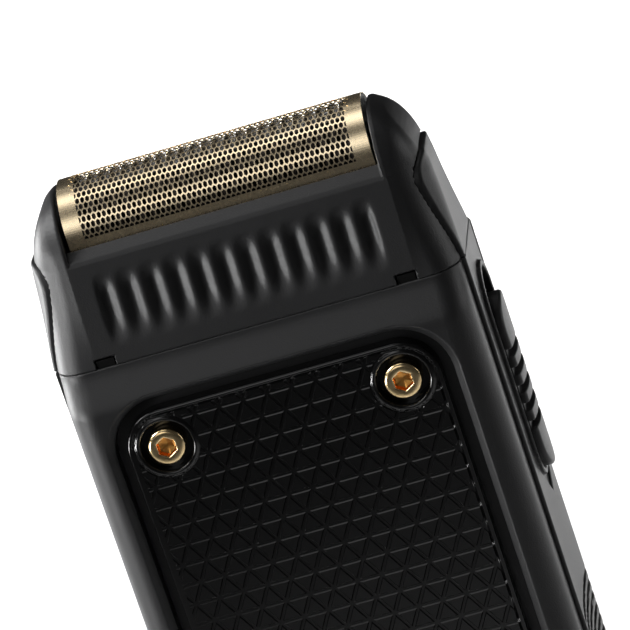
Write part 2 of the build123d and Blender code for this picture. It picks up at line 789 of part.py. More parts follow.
with BuildPart() as motor_bracket:
    leg_outer = bracket_leg_inner + bracket_leg_width
    with BuildSketch(Plane.XY.offset(motor_top)):
        Rectangle(2 * leg_outer, 2 * bracket_half_depth)
    extrude(amount=deck_bottom - motor_top)
    with BuildSketch(Plane.XY.offset(motor_top + bracket_height)):
        Rectangle(2 * bracket_leg_inner, 2 * bracket_half_depth)
    extrude(amount=deck_bottom - motor_top, mode=Mode.SUBTRACT)
    with BuildSketch(Plane.XY.offset(motor_top)):
        Circle(shaft_radius + 1)
        with Locations((motor_screw_x, 0), (-motor_screw_x, 0)):
            Circle(small_screw_radius * 0.8)
    extrude(amount=bracket_height, mode=Mode.SUBTRACT)
    with BuildSketch(Plane.XY.offset(deck_bottom)):
        with Locations((bracket_screw_x, 0), (-bracket_screw_x, 0)):
            Circle(small_screw_radius)
    extrude(amount=-bracket_screw_reach, mode=Mode.SUBTRACT)
export(motor_bracket, "motor_bracket")

with BuildPart() as motor_screws:
    for side in (1, -1):
        with BuildSketch(Plane((side * motor_screw_x, 0, motor_top + bracket_height))):
            Circle(small_head_radius * 0.8)
        extrude(amount=small_head_height)
        with BuildSketch(Plane((side * motor_screw_x, 0, motor_top + bracket_height))):
            Circle(small_screw_radius * 0.8)
        extrude(amount=-(bracket_height + 2 * motor_wall))
export(motor_screws, "motor_screws")

# ---------------------------------------------------------------- battery, board and switch
battery_y = back_inner - battery_radius - cradle_floor
battery_top = battery_bottom + battery_length
with BuildPart() as battery_cell:
    with BuildSketch(Plane.XY.offset(battery_bottom)):
        with Locations((0, battery_y)):
            Circle(battery_radius)
    extrude(amount=battery_length)
    fillet(battery_cell.edges().filter_by(GeomType.CIRCLE), 0.8)
export(battery_cell, "battery_cell")

with BuildPart() as battery_cradle:
    with BuildSketch(Plane.XY.offset(battery_bottom - tab_thickness - cradle_floor)):
        with Locations((0, (battery_y + back_inner) / 2)):
            Rectangle(2 * (battery_radius + cradle_floor), back_inner - battery_y)
    extrude(amount=battery_length + 2 * (tab_thickness + cradle_floor))
    with BuildSketch(Plane.XY.offset(battery_bottom - tab_thickness)):
        with Locations((0, battery_y)):
            Circle(battery_radius)
    extrude(amount=battery_length + 2 * tab_thickness, mode=Mode.SUBTRACT)
export(battery_cradle, "battery_cradle")

with BuildPart() as battery_tabs:
    for level in (battery_bottom - tab_thickness, battery_top):
        with BuildSketch(Plane.XY.offset(level)):
            with Locations((0, battery_y)):
                Rectangle(battery_radius * 0.7, battery_radius * 1.7)
        extrude(amount=tab_thickness)
export(battery_tabs, "battery_tabs")

with BuildPart() as main_board:
    with BuildSketch(Plane.YZ.offset(board_x)):
        with Locations((board_back - board_depth / 2, (board_bottom + board_top) / 2)):
            Rectangle(board_depth, board_top - board_bottom)
    extrude(amount=board_thickness)
    # Components stand on the inner face.
    for y, level, width, length, height in board_chips:
        with BuildSketch(Plane.YZ.offset(board_x)):
            with Locations((board_back - y, board_bottom + level)):
                Rectangle(width, length)
        extrude(amount=-height)
export(main_board, "main_board")

switch_face = board_x + board_thickness + switch_height
with BuildPart() as switch_body:
    with BuildSketch(Plane.YZ.offset(board_x + board_thickness)):
        with Locations((slider_y, stem_middle + slider_travel / 2)):
            Rectangle(switch_depth, knob_length + slider_travel + 6)
    extrude(amount=switch_height)
    with BuildSketch(Plane.YZ.offset(board_x + board_thickness + switch_height / 2)):
        with Locations((slider_y, stem_middle + slider_travel / 2)):
            Rectangle(knob_depth + 2 * slide_gap, knob_length + slider_travel + 2 * slide_gap)
    extrude(amount=switch_height, mode=Mode.SUBTRACT)
export(switch_body, "switch_body")

with BuildPart() as switch_knob:
    with BuildSketch(Plane.YZ.offset(board_x + board_thickness + switch_height / 2 + slide_gap)):
        with Locations((slider_y, stem_middle)):
            Rectangle(knob_depth, knob_length)
    extrude(amount=switch_height / 2 - slide_gap + knob_reach)
export(switch_knob, "switch_knob")

slider_back = pocket_floor + slide_gap
slider_skin = rear_widest + slider_proud - rib_height
with BuildPart() as power_slider:
    with BuildSketch(Plane.YZ.offset(slider_back)):
        with Locations((slider_y, (slider_top + slider_bottom) / 2)):
            SlotOverall(slider_length, slider_width, rotation=90)
    extrude(amount=slider_skin + rib_height - slider_back)
    # Two raised paddles stay at the ends, and the ribs between them.
    with BuildSketch(Plane.YZ.offset(slider_skin)):
        with Locations((slider_y, (slider_top + slider_bottom) / 2)):
            Rectangle(2 * slider_width, rib_count * rib_pitch + rib_pitch - rib_width)
            for index in range(rib_count):
                with Locations((0, (index - (rib_count - 1) / 2) * rib_pitch)):
                    Rectangle(2 * slider_width, rib_width, mode=Mode.SUBTRACT)
    extrude(amount=2 * rib_height, mode=Mode.SUBTRACT)
    with BuildSketch(Plane.YZ.offset(switch_face + slide_gap)):
        with Locations((slider_y, stem_middle)):
            Rectangle(stem_depth, stem_length)
    extrude(amount=slider_back - switch_face)
    with BuildSketch(Plane.YZ.offset(switch_face)):
        with Locations((slider_y, stem_middle)):
            Rectangle(knob_depth, knob_length)
    extrude(amount=knob_reach, mode=Mode.SUBTRACT)
export(power_slider, "power_slider")

# ---------------------------------------------------------------- drive bridge and cutter
post_top = bridge_top + post_height
with BuildPart() as drive_bridge:
    with BuildSketch(Plane.XY.offset(bridge_bottom)):
        Rectangle(2 * bridge_half_width, 2 * bridge_half_depth)
    extrude(amount=bridge_height)
    with BuildSketch(Plane.YZ.offset(-bridge_half_width)):
        with Locations((rail_y, rail_level), (-rail_y, rail_level)):
            Circle(rail_radius + rail_run_gap)
    extrude(amount=2 * bridge_half_width, mode=Mode.SUBTRACT)
    # Slot for the eccentric pin, wide enough for every place of the pin at every place of the bridge.
    pin_reach = drive_stroke + cam_pin_radius + cam_clearance
    with BuildSketch(Plane.XY.offset(bridge_bottom)):
        Rectangle(2 * (pin_reach + drive_stroke), 2 * pin_reach)
    extrude(amount=bridge_height / 2, mode=Mode.SUBTRACT)
    with BuildSketch(Plane.XY.offset(bridge_top)):
        Rectangle(2 * post_half_width, 2 * post_half_depth)
    extrude(amount=post_height)
    with BuildSketch(Plane.XY.offset(bridge_top)):
        with Locations((cutter_spring_x, 0), (-cutter_spring_x, 0)):
            Circle(cutter_spring_radius - spring_wall)
    extrude(amount=spring_peg_height)
export(drive_bridge, "drive_bridge")

with BuildPart() as cutter_carrier:
    with BuildSketch(Plane.XY.offset(carrier_bottom)):
        Rectangle(2 * cutter_half_length, 2 * carrier_half_depth)
    extrude(amount=carrier_height)
    socket_floor = bridge_top + foil_float_travel + socket_lift
    with BuildSketch(Plane.XY.offset(socket_floor)):
        Rectangle(2 * (post_half_width + socket_wall), 2 * (post_half_depth + socket_wall))
    extrude(amount=carrier_bottom - socket_floor)
    with BuildSketch(Plane.XY.offset(socket_floor)):
        Rectangle(2 * (post_half_width + post_gap), 2 * (post_half_depth + post_gap))
    extrude(amount=post_top + foil_float_travel + slide_gap - socket_floor, mode=Mode.SUBTRACT)
export(cutter_carrier, "cutter_carrier")

with BuildPart() as cutter_blades:
    # Half discs on a common core, cut off at the seat on the carrier.
    blade_pitch = (2 * cutter_half_length - blade_thickness) / (blade_count - 1)
    with BuildSketch(Plane.YZ.offset(-cutter_half_length)):
        with Locations((0, foil_axis)):
            Circle(blade_core_radius)
        with Locations((0, blade_seat - foil_radius)):
            Rectangle(4 * foil_radius, 2 * foil_radius, mode=Mode.SUBTRACT)
    extrude(amount=2 * cutter_half_length)
    for index in range(blade_count):
        with BuildSketch(Plane.YZ.offset(-cutter_half_length + index * blade_pitch)):
            with Locations((0, foil_axis)):
                Circle(cutter_radius)
            with Locations((0, blade_seat - foil_radius)):
                Rectangle(4 * foil_radius, 2 * foil_radius, mode=Mode.SUBTRACT)
        extrude(amount=blade_thickness)
export(cutter_blades, "cutter_blades")

with BuildPart() as cutter_springs:
    with BuildSketch(Plane.XY.offset(bridge_top)):
        with Locations((cutter_spring_x, 0), (-cutter_spring_x, 0)):
            Circle(cutter_spring_radius)
            Circle(cutter_spring_radius - spring_wall, mode=Mode.SUBTRACT)
    extrude(amount=carrier_bottom - bridge_top)
export(cutter_springs, "cutter_springs")


# ---------------------------------------------------------------- head
def head_outline(margin):
    """Draw the head's front outline, moved outwards by margin."""
    (shoulder_in, shoulder_z), (bow_in, bow_z), (crown_in, crown_z) = ear_shoulder, ear_bow, ear_crown
    shoulder_x, bow_x, crown_x = half_width - shoulder_in, half_width - bow_in, half_width - crown_in
    drop = 0 if margin == 0 else head_height
    foot_x = head_half_width + drop * (head_half_width - shoulder_x) / shoulder_z
    with BuildSketch(Plane.XZ.offset(-body_width)) as outline:
        with BuildLine():
            right = Line((foot_x, seam - drop), (shoulder_x, seam + shoulder_z))
            right_ear = ThreePointArc(right @ 1, (bow_x, seam + bow_z), (crown_x, seam + crown_z))
            left = Line((-foot_x, seam - drop), (-shoulder_x, seam + shoulder_z))
            left_ear = ThreePointArc(left @ 1, (-bow_x, seam + bow_z), (-crown_x, seam + crown_z))
            Line(right_ear @ 1, left_ear @ 1)
            Line(right @ 0, left @ 0)
        make_face()
        if margin:
            offset(amount=margin, kind=Kind.INTERSECTION)
    return outline.sketch


def ear_profile():
    """Draw the head's side outline: sloping faces that close in an arch over the foil's axis."""
    with BuildSketch(Plane.YZ.offset(-body_width)) as profile:
        with BuildLine():
            front = Line((-seam_front, seam), (-band_front, seam + band_bottom))
            arch = ThreePointArc(front @ 1, (0, seam + ear_crown[1]), (band_front, seam + band_bottom))
            Line(arch @ 1, (seam_front, seam))
            Line((seam_front, seam), (-seam_front, seam))
        make_face()
    return profile.sketch


def button_panel(margin, inner, outer_margin):
    """A side panel between two offsets of the head's outline, with rounded top corners."""
    with BuildPart() as panel:
        with BuildSketch(Plane.YZ) as face:
            with Locations((0, seam + (button_height + button_gap) / 2)):
                Rectangle(2 * (button_half_depth + margin), button_height - button_gap + 2 * margin)
            fillet(face.vertices().group_by(Axis.Y)[-1], button_corner)
        extrude(amount=body_width)
        add(head_outline(outer_margin))
        extrude(amount=2 * body_width, dir=(0, -1, 0), mode=Mode.INTERSECT)
        add(head_outline(inner))
        extrude(amount=2 * body_width, dir=(0, -1, 0), mode=Mode.SUBTRACT)
    return panel.part


pocket_floor_margin = -(button_sink + button_travel + slide_gap)
button_pocket = button_panel(button_gap, pocket_floor_margin, 2)
stem_level = seam + button_stem_level
stem_window_half = (button_stem_half + slide_gap, button_stem_height / 2 + slide_gap)

with BuildPart() as head_housing:
    add(head_outline(0))
    extrude(amount=2 * body_width, dir=(0, -1, 0))
    # Front and back corners are eased in plan.
    corner = [
        (head_half_width + 2 * head_plan_margin, split_front),
        (head_half_width, seam_front - corner_run[1]),
        (corner_x, seam_front + head_plan_margin),
    ]
    front_points = [(x, -y) for x, y in corner]
    back_points = [(-x, y) for x, y in corner]
    with BuildSketch(Plane.XY.offset(seam)) as plan:
        with BuildLine():
            Polyline(*both_sides(front_points), *both_sides(back_points), close=True)
        make_face()
        fillet(plan.vertices(), head_corner_fillet)
    extrude(amount=head_height, mode=Mode.INTERSECT)
    add(ear_profile())
    extrude(amount=2 * body_width, dir=(1, 0, 0), mode=Mode.INTERSECT)
    # Between the ears the head stops at a bevelled band.
    with BuildSketch(Plane.YZ.offset(-ear_inner)):
        with BuildLine():
            Polyline(
                (-2 * seam_front, seam + band_bottom),
                (-band_front, seam + band_bottom),
                (-band_edge, seam + band_top),
                (band_edge, seam + band_top),
                (band_front, seam + band_bottom),
                (2 * seam_front, seam + band_bottom),
                (2 * seam_front, seam + 2 * head_height),
                (-2 * seam_front, seam + 2 * head_height),
                close=True,
            )
        make_face()
    extrude(amount=2 * ear_inner, mode=Mode.SUBTRACT)
    with BuildSketch(Plane.XY.offset(seam)):
        Rectangle(2 * ear_inner, 2 * foil_opening_y)
    extrude(amount=head_height, mode=Mode.SUBTRACT)
    with BuildSketch(Plane.YZ.offset(-cavity_half)):
        with BuildLine():
            slope = (seam_front - band_front) / band_bottom
            top_y = seam_front - head_front_wall - slope * flange_top
            Polyline(
                (-(seam_front - head_front_wall), seam),
                (-top_y, flange_ceiling),
                (top_y, flange_ceiling),
                (seam_front - head_front_wall, seam),
                close=True,
            )
        make_face()
    extrude(amount=2 * cavity_half, mode=Mode.SUBTRACT)
    # Notches for the key tabs.
    for side in (1, -1):
        with BuildSketch(Plane.XY.offset(seam)):
            with Locations((side * (notch_inner + notch_width / 2), -seam_front)):
                Rectangle(notch_width, 4 * head_front_wall)
        extrude(amount=notch_height, mode=Mode.SUBTRACT)
    # Pockets of the release buttons, open at the seam, and the windows of their stems.
    add(button_pocket, mode=Mode.SUBTRACT)
    add(mirror(button_pocket, about=Plane.YZ, mode=Mode.PRIVATE), mode=Mode.SUBTRACT)
    with BuildSketch(Plane.YZ.offset(-body_width)):
        with Locations((0, stem_level)):
            Rectangle(2 * stem_window_half[0], 2 * stem_window_half[1])
    extrude(amount=2 * body_width, mode=Mode.SUBTRACT)
    # Scooped flutes down the front face, each a capsule that dips into it.
    lean = math.atan2(seam_front - band_front, band_bottom)
    flute_out = flute_radius - flute_depth
    flute_middle = (flute_low + flute_high) / 2
    flute_length = (flute_high - flute_low - 2 * flute_radius) / math.cos(lean)
    flute_y = -(seam_front - slope * flute_middle) - flute_out * math.cos(lean)
    flute_z = seam + flute_middle + flute_out * math.sin(lean)
    for index in range(flute_count):
        across = (index - (flute_count - 1) / 2) * flute_pitch
        with Locations(Location((across, flute_y, flute_z), (-math.degrees(lean), 0, 0))):
            Cylinder(flute_radius, flute_length, mode=Mode.SUBTRACT)
            with Locations((0, 0, flute_length / 2), (0, 0, -flute_length / 2)):
                Sphere(flute_radius, mode=Mode.SUBTRACT)
export(head_housing, "head_housing")

# Release buttons: a panel outside, and a stem that pushes the clip.
clip_x = catch_outer - catch_wall - catch_lip - slide_gap / 2 - clip_wall
button_panel_part = button_panel(0, -button_sink, button_proud)
with BuildPart() as release_button_right:
    add(button_panel_part)
    with BuildSketch(Plane.YZ.offset(clip_x + clip_wall + slide_gap / 2)):
        with Locations((0, stem_level)):
            Rectangle(2 * button_stem_half, button_stem_height)
    extrude(until=Until.NEXT)
export(release_button_right, "release_button_right")

with BuildPart() as release_button_left:
    add(mirror(release_button_right.part, about=Plane.YZ, mode=Mode.PRIVATE))
export(release_button_left, "release_button_left")

# ---------------------------------------------------------------- foil, its frame and the springs
frame_half_x = cavity_half - 2 * slide_gap
with BuildPart() as foil_frame:
    with BuildSketch(Plane.XY.offset(flange_floor)):
        Rectangle(2 * frame_half_x, 2 * frame_flange_y)
        Rectangle(2 * (foil_half_length - frame_end_wall), 2 * foil_radius, mode=Mode.SUBTRACT)
        for side in (1, -1):
            with Locations((side * foil_half_length, 0)):
                Rectangle(2 * frame_end_wall, 2 * foil_radius, mode=Mode.SUBTRACT)
    extrude(amount=frame_flange_height)
    # Half-round end plates carry the two ends of the foil.
    for side in (1, -1):
        with BuildSketch(Plane.YZ.offset(side * (foil_half_length - frame_end_wall))):
            with Locations((0, foil_axis)):
                Circle(foil_inner)
            with Locations((0, (flange_floor + foil_axis) / 2)):
                Rectangle(2 * foil_inner, foil_axis - flange_floor)
        extrude(amount=side * frame_end_wall)
        with BuildSketch(Plane.XY.offset(flange_floor)):
            with Locations((side * (foil_half_length + frame_end_wall / 2), 0)):
                Rectangle(frame_end_wall, 2 * frame_flange_y)
        extrude(amount=frame_flange_height)
export(foil_frame, "foil_frame")

with BuildPart() as foil:
    with BuildSketch(Plane.YZ.offset(-foil_half_length)):
        with Locations((0, foil_axis)):
            Circle(foil_radius)
        with Locations((0, (flange_floor + foil_axis) / 2)):
            Rectangle(2 * foil_radius, foil_axis - flange_floor)
        with Locations((0, foil_axis)):
            Circle(foil_inner, mode=Mode.SUBTRACT)
        with Locations((0, (flange_floor + foil_axis) / 2)):
            Rectangle(2 * foil_inner, foil_axis - flange_floor, mode=Mode.SUBTRACT)
        with Locations((0, flange_floor - foil_radius)):
            Rectangle(4 * foil_radius, 2 * foil_radius, mode=Mode.SUBTRACT)
    extrude(amount=2 * foil_half_length)
export(foil, "foil")

# A ring in the head that the foil springs stand on.
ring_inner = (rail_block_inner + rail_block_width + retainer_gap[0], bridge_half_depth + retainer_gap[1])
clip_window = (2 * (cavity_half - clip_x + clip_room), 2 * (catch_half_depth + clip_room + slide_gap))
with BuildPart() as foil_retainer:
    with BuildSketch(Plane.XY.offset(seam + retainer_level)):
        Rectangle(2 * cavity_half, 2 * (frame_flange_y + retainer_margin))
        Rectangle(2 * ring_inner[0], 2 * ring_inner[1], mode=Mode.SUBTRACT)
        for side in (1, -1):
            with Locations((side * cavity_half, 0)):
                Rectangle(*clip_window, mode=Mode.SUBTRACT)
    extrude(amount=retainer_height)
export(foil_retainer, "foil_retainer")

spring_spots = [(sx * foil_spring_x, sy * foil_spring_y) for sx in (1, -1) for sy in (1, -1)]
with BuildPart() as foil_springs:
    with BuildSketch(Plane.XY.offset(retainer_top)):
        with Locations(*spring_spots):
            Circle(foil_spring_radius)
            Circle(foil_spring_radius - spring_wall, mode=Mode.SUBTRACT)
    extrude(amount=flange_floor - retainer_top)
export(foil_springs, "foil_springs")

# Spring clips: an upright strip under each stem, a foot on the head's wall, a hook under the catch.
clip_low = seam + catch_height - catch_lip_height - clip_hook_height - slide_gap
clip_high = stem_level + button_stem_height / 2 + clip_foot_gap
with BuildPart() as retaining_clips:
    for side in (1, -1):
        with BuildSketch(Plane.XY.offset(clip_low)):
            with Locations((side * (clip_x + clip_wall / 2), 0)):
                Rectangle(clip_wall, 2 * button_stem_half)
        extrude(amount=clip_high - clip_low)
        with BuildSketch(Plane.XY.offset(clip_low)):
            with Locations((side * (clip_x + clip_wall + catch_lip / 2), 0)):
                Rectangle(catch_lip, 2 * button_stem_half)
        extrude(amount=clip_hook_height)
        with BuildSketch(Plane.XY.offset(clip_high)):
            with Locations((side * (clip_x + cavity_half) / 2, 0)):
                Rectangle(cavity_half - clip_x, 2 * button_stem_half)
        extrude(amount=clip_wall)
export(retaining_clips, "retaining_clips")

with BuildPart() as button_springs:
    with BuildSketch(Plane.YZ.offset(cavity_half)):
        with Locations((0, stem_level)):
            Circle(button_spring_radius)
            Circle(button_spring_radius - spring_wall, mode=Mode.SUBTRACT)
    extrude(amount=body_width)
    add(head_outline(-button_sink))
    extrude(amount=2 * body_width, dir=(0, -1, 0), mode=Mode.INTERSECT)
    add(head_outline(pocket_floor_margin))
    extrude(amount=2 * body_width, dir=(0, -1, 0), mode=Mode.SUBTRACT)
    mirror(about=Plane.YZ)
export(button_springs, "button_springs")
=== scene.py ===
"""Cordless foil shaver, built round its packed CAD frame.

Lengths in the fields and the size groups are millimetres in the frame's axes; meshes are in metres.
X runs left to right seen from the front, the front faces -Y, and Z is up.
"""

import math

import bpy
import numpy as np
from mathutils import Matrix, Vector


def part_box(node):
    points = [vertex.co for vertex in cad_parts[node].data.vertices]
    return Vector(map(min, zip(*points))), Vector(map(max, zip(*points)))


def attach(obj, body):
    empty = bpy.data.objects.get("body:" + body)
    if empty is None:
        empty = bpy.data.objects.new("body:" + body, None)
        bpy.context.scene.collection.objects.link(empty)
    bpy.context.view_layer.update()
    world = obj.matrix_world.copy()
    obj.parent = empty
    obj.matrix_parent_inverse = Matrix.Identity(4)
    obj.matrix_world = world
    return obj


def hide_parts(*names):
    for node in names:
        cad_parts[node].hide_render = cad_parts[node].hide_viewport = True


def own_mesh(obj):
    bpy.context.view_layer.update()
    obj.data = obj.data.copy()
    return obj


bl_info = {
    "name": "Foil Shaver",
    "version": (1, 0, 0),
    "blender": (4, 5, 0),
    "location": "View3D > Sidebar > Shaver",
    "description": "Builds the visible pieces of a cordless foil shaver on its CAD frame",
    "category": "Object",
}

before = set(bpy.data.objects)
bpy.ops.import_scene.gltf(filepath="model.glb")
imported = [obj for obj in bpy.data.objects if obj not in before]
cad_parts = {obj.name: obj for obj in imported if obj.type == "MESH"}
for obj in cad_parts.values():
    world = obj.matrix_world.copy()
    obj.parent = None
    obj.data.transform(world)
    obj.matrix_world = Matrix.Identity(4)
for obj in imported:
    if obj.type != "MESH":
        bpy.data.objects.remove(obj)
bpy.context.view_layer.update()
MM = 0.001


def node_box(node):
    """Lowest and highest corner of a CAD node, in millimetres."""
    low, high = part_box(node)
    return np.array(low) / MM, np.array(high) / MM


# ------------------------------------------------------------------ measures shared by the pieces
HEAD_LOW, HEAD_HIGH = node_box("head_housing")
SHELL_LOW, SHELL_HIGH = node_box("front_shell")
REAR_LOW, REAR_HIGH = node_box("rear_shell")
PLATE_LOW, PLATE_HIGH = node_box("front_plate")
FOIL_LOW, FOIL_HIGH = node_box("foil")
SLIDER_LOW, SLIDER_HIGH = node_box("power_slider")
SCREW_LOW, SCREW_HIGH = node_box("plate_screws")
SEAM = float(HEAD_LOW[2])
HALF_WIDTH = float(SHELL_HIGH[0])
SPLIT = float(SHELL_HIGH[1])
SEAM_FRONT = -float(HEAD_LOW[1])
RIM_FRONT = -float(SHELL_LOW[1])
BASE_TOP = float(SHELL_LOW[2])
BACK = float(REAR_HIGH[1])
FOIL_RADIUS = float(FOIL_HIGH[1])
FOIL_AXIS = float(FOIL_HIGH[2]) - FOIL_RADIUS
PLATE_MIDDLE = float(PLATE_LOW[2] + PLATE_HIGH[2]) / 2
PLATE_HALF = (float(PLATE_HIGH[0]), float(PLATE_HIGH[2] - PLATE_LOW[2]) / 2)
SCREW_RADIUS = 2.75
SCREW_SPOTS = [
    (side * (float(SCREW_HIGH[0]) - SCREW_RADIUS), level)
    for side in (1, -1)
    for level in (float(SCREW_LOW[2]) + SCREW_RADIUS, float(SCREW_HIGH[2]) - SCREW_RADIUS)
]


# ------------------------------------------------------------------ fields
# A field is negative inside the material and close to a true distance near the surface, so pieces
# join and meet with edges of a stated radius.


def meet(a, b, radius=0.0):
    """Intersection with a rounded edge."""
    if np.isscalar(radius) and radius <= 0:
        return np.maximum(a, b)
    u = np.maximum(radius + a, 0)
    v = np.maximum(radius + b, 0)
    return np.minimum(-radius, np.maximum(a, b)) + np.sqrt(u * u + v * v)


def join(a, b, radius=0.0):
    """Union with a filleted corner."""
    return -meet(-a, -b, radius)


def cut(a, b, radius=0.0):
    """Take b away from a, with a rounded edge."""
    return meet(a, -b, radius)


def outline(u, v, points):
    """Distance to a closed outline given by its corner points."""
    u, v = np.broadcast_arrays(u, v)
    nearest = np.full(u.shape, 1e9)
    inside = np.zeros(u.shape, bool)
    for (u0, v0), (u1, v1) in zip(points, points[1:] + points[:1]):
        du, dv = u1 - u0, v1 - v0
        share = np.clip(((u - u0) * du + (v - v0) * dv) / (du * du + dv * dv), 0, 1)
        nearest = np.minimum(nearest, (u - u0 - share * du) ** 2 + (v - v0 - share * dv) ** 2)
        if dv:
            inside ^= ((v0 <= v) != (v1 <= v)) & (u < u0 + (v - v0) * du / dv)
    nearest = np.sqrt(nearest)
    return np.where(inside, -nearest, nearest)


def rounded_rectangle(u, v, half_u, half_v, radius):
    """Distance to a rectangle round the origin with rounded corners."""
    a = np.abs(u) - half_u + radius
    b = np.abs(v) - half_v + radius
    return np.hypot(np.maximum(a, 0), np.maximum(b, 0)) + np.minimum(np.maximum(a, b), 0) - radius


def stadium(u, v, half_length, radius):
    """Distance to a slot with round ends that runs along v."""
    return np.hypot(u, np.maximum(np.abs(v) - half_length + radius, 0)) - radius


def between(value, low, high):
    """Distance to the space between two parallel planes."""
    return np.maximum(low - value, value - high)


def every(*fields):
    """The space that all the given fields share, with sharp edges."""
    shared = fields[0]
    for field in fields[1:]:
        shared = np.maximum(shared, field)
    return shared


def ease(value):
    """Smooth step from 0 to 1."""
    value = np.clip(value, 0, 1)
    return value * value * (3 - 2 * value)


def arc_points(start, middle, end, count):
    """Points on the circle arc through three points."""
    (ax, ay), (bx, by), (cx, cy) = start, middle, end
    d = 2 * (ax * (by - cy) + bx * (cy - ay) + cx * (ay - by))
    a2, b2, c2 = ax * ax + ay * ay, bx * bx + by * by, cx * cx + cy * cy
    ux = (a2 * (by - cy) + b2 * (cy - ay) + c2 * (ay - by)) / d
    uy = (a2 * (cx - bx) + b2 * (ax - cx) + c2 * (bx - ax)) / d
    radius = math.hypot(ax - ux, ay - uy)
    first = math.atan2(ay - uy, ax - ux)
    turn = (math.atan2(cy - uy, cx - ux) - first + math.pi) % (2 * math.pi) - math.pi
    steps = [first + turn * i / (count - 1) for i in range(count)]
    return [(ux + radius * math.cos(t), uy + radius * math.sin(t)) for t in steps]


# ------------------------------------------------------------------ meshing a field
CORNERS = [(i, j, k) for i in (0, 1) for j in (0, 1) for k in (0, 1)]
EDGES = [(a, b) for a in range(8) for b in range(a + 1, 8) if bin(a ^ b).count("1") == 1]


def slope_of(field, points, step=0.02):
    """Gradient of a field at a list of points."""
    columns = []
    for axis in range(3):
        shift = np.zeros(3)
        shift[axis] = step
        columns.append((field(*(points + shift).T) - field(*(points - shift).T)) / (2 * step))
    return np.stack(columns, 1)


def settle(field, points, limit, rounds):
    """Move points onto the surface along the field's slope, no further than a limit."""
    start = points.copy()
    for _ in range(rounds):
        slope = slope_of(field, points)
        size = np.maximum((slope * slope).sum(1), 0.2)
        points = points - slope * (field(*points.T) / size)[:, None]
    move = points - start
    far = np.linalg.norm(move, axis=1)
    return start + move * np.minimum(1, limit / np.maximum(far, 1e-9))[:, None]


def surface_net(field, low, high, cell):
    """Vertices and quads of the surface where the field is 0, one vertex for each crossed cell."""
    axes = [np.arange(lo - 1.37 * cell, hi + 2 * cell, cell) for lo, hi in zip(low, high)]
    values = field(axes[0][:, None, None], axes[1][None, :, None], axes[2][None, None, :])
    values = np.broadcast_to(values, [len(a) for a in axes]).astype(np.float32)
    solid = values < 0
    shape = [n - 1 for n in solid.shape]
    count = np.zeros(shape, np.int8)
    for i, j, k in CORNERS:
        count += solid[i : shape[0] + i, j : shape[1] + j, k : shape[2] + k]
    cells = np.argwhere((count > 0) & (count < 8))
    corner = np.stack([values[tuple((cells + c).T)] for c in CORNERS], 1)
    total = np.zeros((len(cells), 3))
    hits = np.zeros(len(cells))
    for a, b in EDGES:
        crossed = (corner[:, a] < 0) != (corner[:, b] < 0)
        share = corner[:, a] / np.where(crossed, corner[:, a] - corner[:, b], 1)
        place = np.array(CORNERS[a]) + share[:, None] * (np.array(CORNERS[b]) - np.array(CORNERS[a]))
        total += np.where(crossed[:, None], place, 0)
        hits += crossed
    points = np.array([a[0] for a in axes]) + cell * (cells + total / hits[:, None])
    number = np.full(shape, -1, np.int64)
    number[tuple(cells.T)] = np.arange(len(cells))
    quads = []
    for axis in range(3):
        ahead, behind = [slice(None)] * 3, [slice(None)] * 3
        ahead[axis], behind[axis] = slice(1, None), slice(None, -1)
        crossed = np.argwhere(solid[tuple(ahead)] != solid[tuple(behind)])
        filled_below = solid[tuple(crossed.T)]
        ring = []
        for step_one, step_two in ((0, 0), (1, 0), (1, 1), (0, 1)):
            near = crossed.copy()
            near[:, (axis + 1) % 3] -= step_one
            near[:, (axis + 2) % 3] -= step_two
            ring.append(number[tuple(near.T)])
        ring = np.stack(ring, 1)
        ring[~filled_below] = ring[~filled_below][:, ::-1]
        quads.append(ring)
    return points, np.concatenate(quads)


def new_object(name, mesh):
    """A fresh object at the origin."""
    obj = bpy.data.objects.new(name, mesh)
    bpy.context.scene.collection.objects.link(obj)
    return obj


def flatten(obj):
    """Give an object its evaluated mesh, and drop its modifiers."""
    bpy.context.view_layer.update()
    graph = bpy.context.evaluated_depsgraph_get()
    mesh = bpy.data.meshes.new_from_object(obj.evaluated_get(graph), depsgraph=graph)
    old = obj.data
    obj.modifiers.clear()
    obj.data = mesh
    mesh.name = obj.name
    bpy.data.meshes.remove(old)
    return obj


def moulded(name, field, low, high, cell, triangles):
    """A moulded piece: the field's surface, thinned to a number of triangles and settled again."""
    points, quads = surface_net(field, low, high, cell)
    if quads.min() < 0:
        raise ValueError(f"{name} runs out of its box")
    points = settle(field, points, cell, 3)
    mesh = bpy.data.meshes.new(name)
    mesh.from_pydata((points * MM).tolist(), [], quads.tolist())
    mesh.update()
    obj = new_object(name, mesh)
    share = triangles / (2 * len(quads))
    if share < 1:
        thin = obj.modifiers.new("thin", "DECIMATE")
        thin.ratio = share
        flatten(obj)
        mesh = obj.data
        flat = np.zeros(len(mesh.vertices) * 3, np.float32)
        mesh.vertices.foreach_get("co", flat)
        points = settle(field, flat.reshape(-1, 3).astype(float) / MM, cell / 3, 2)
        mesh.vertices.foreach_set("co", (points * MM).astype(np.float32).ravel())
    mesh.update()
    mesh.shade_smooth()
    normals = slope_of(field, points, 0.01)
    normals /= np.maximum(np.linalg.norm(normals, axis=1), 1e-9)[:, None]
    mesh.normals_split_custom_set_from_vertices(normals.tolist())
    return obj


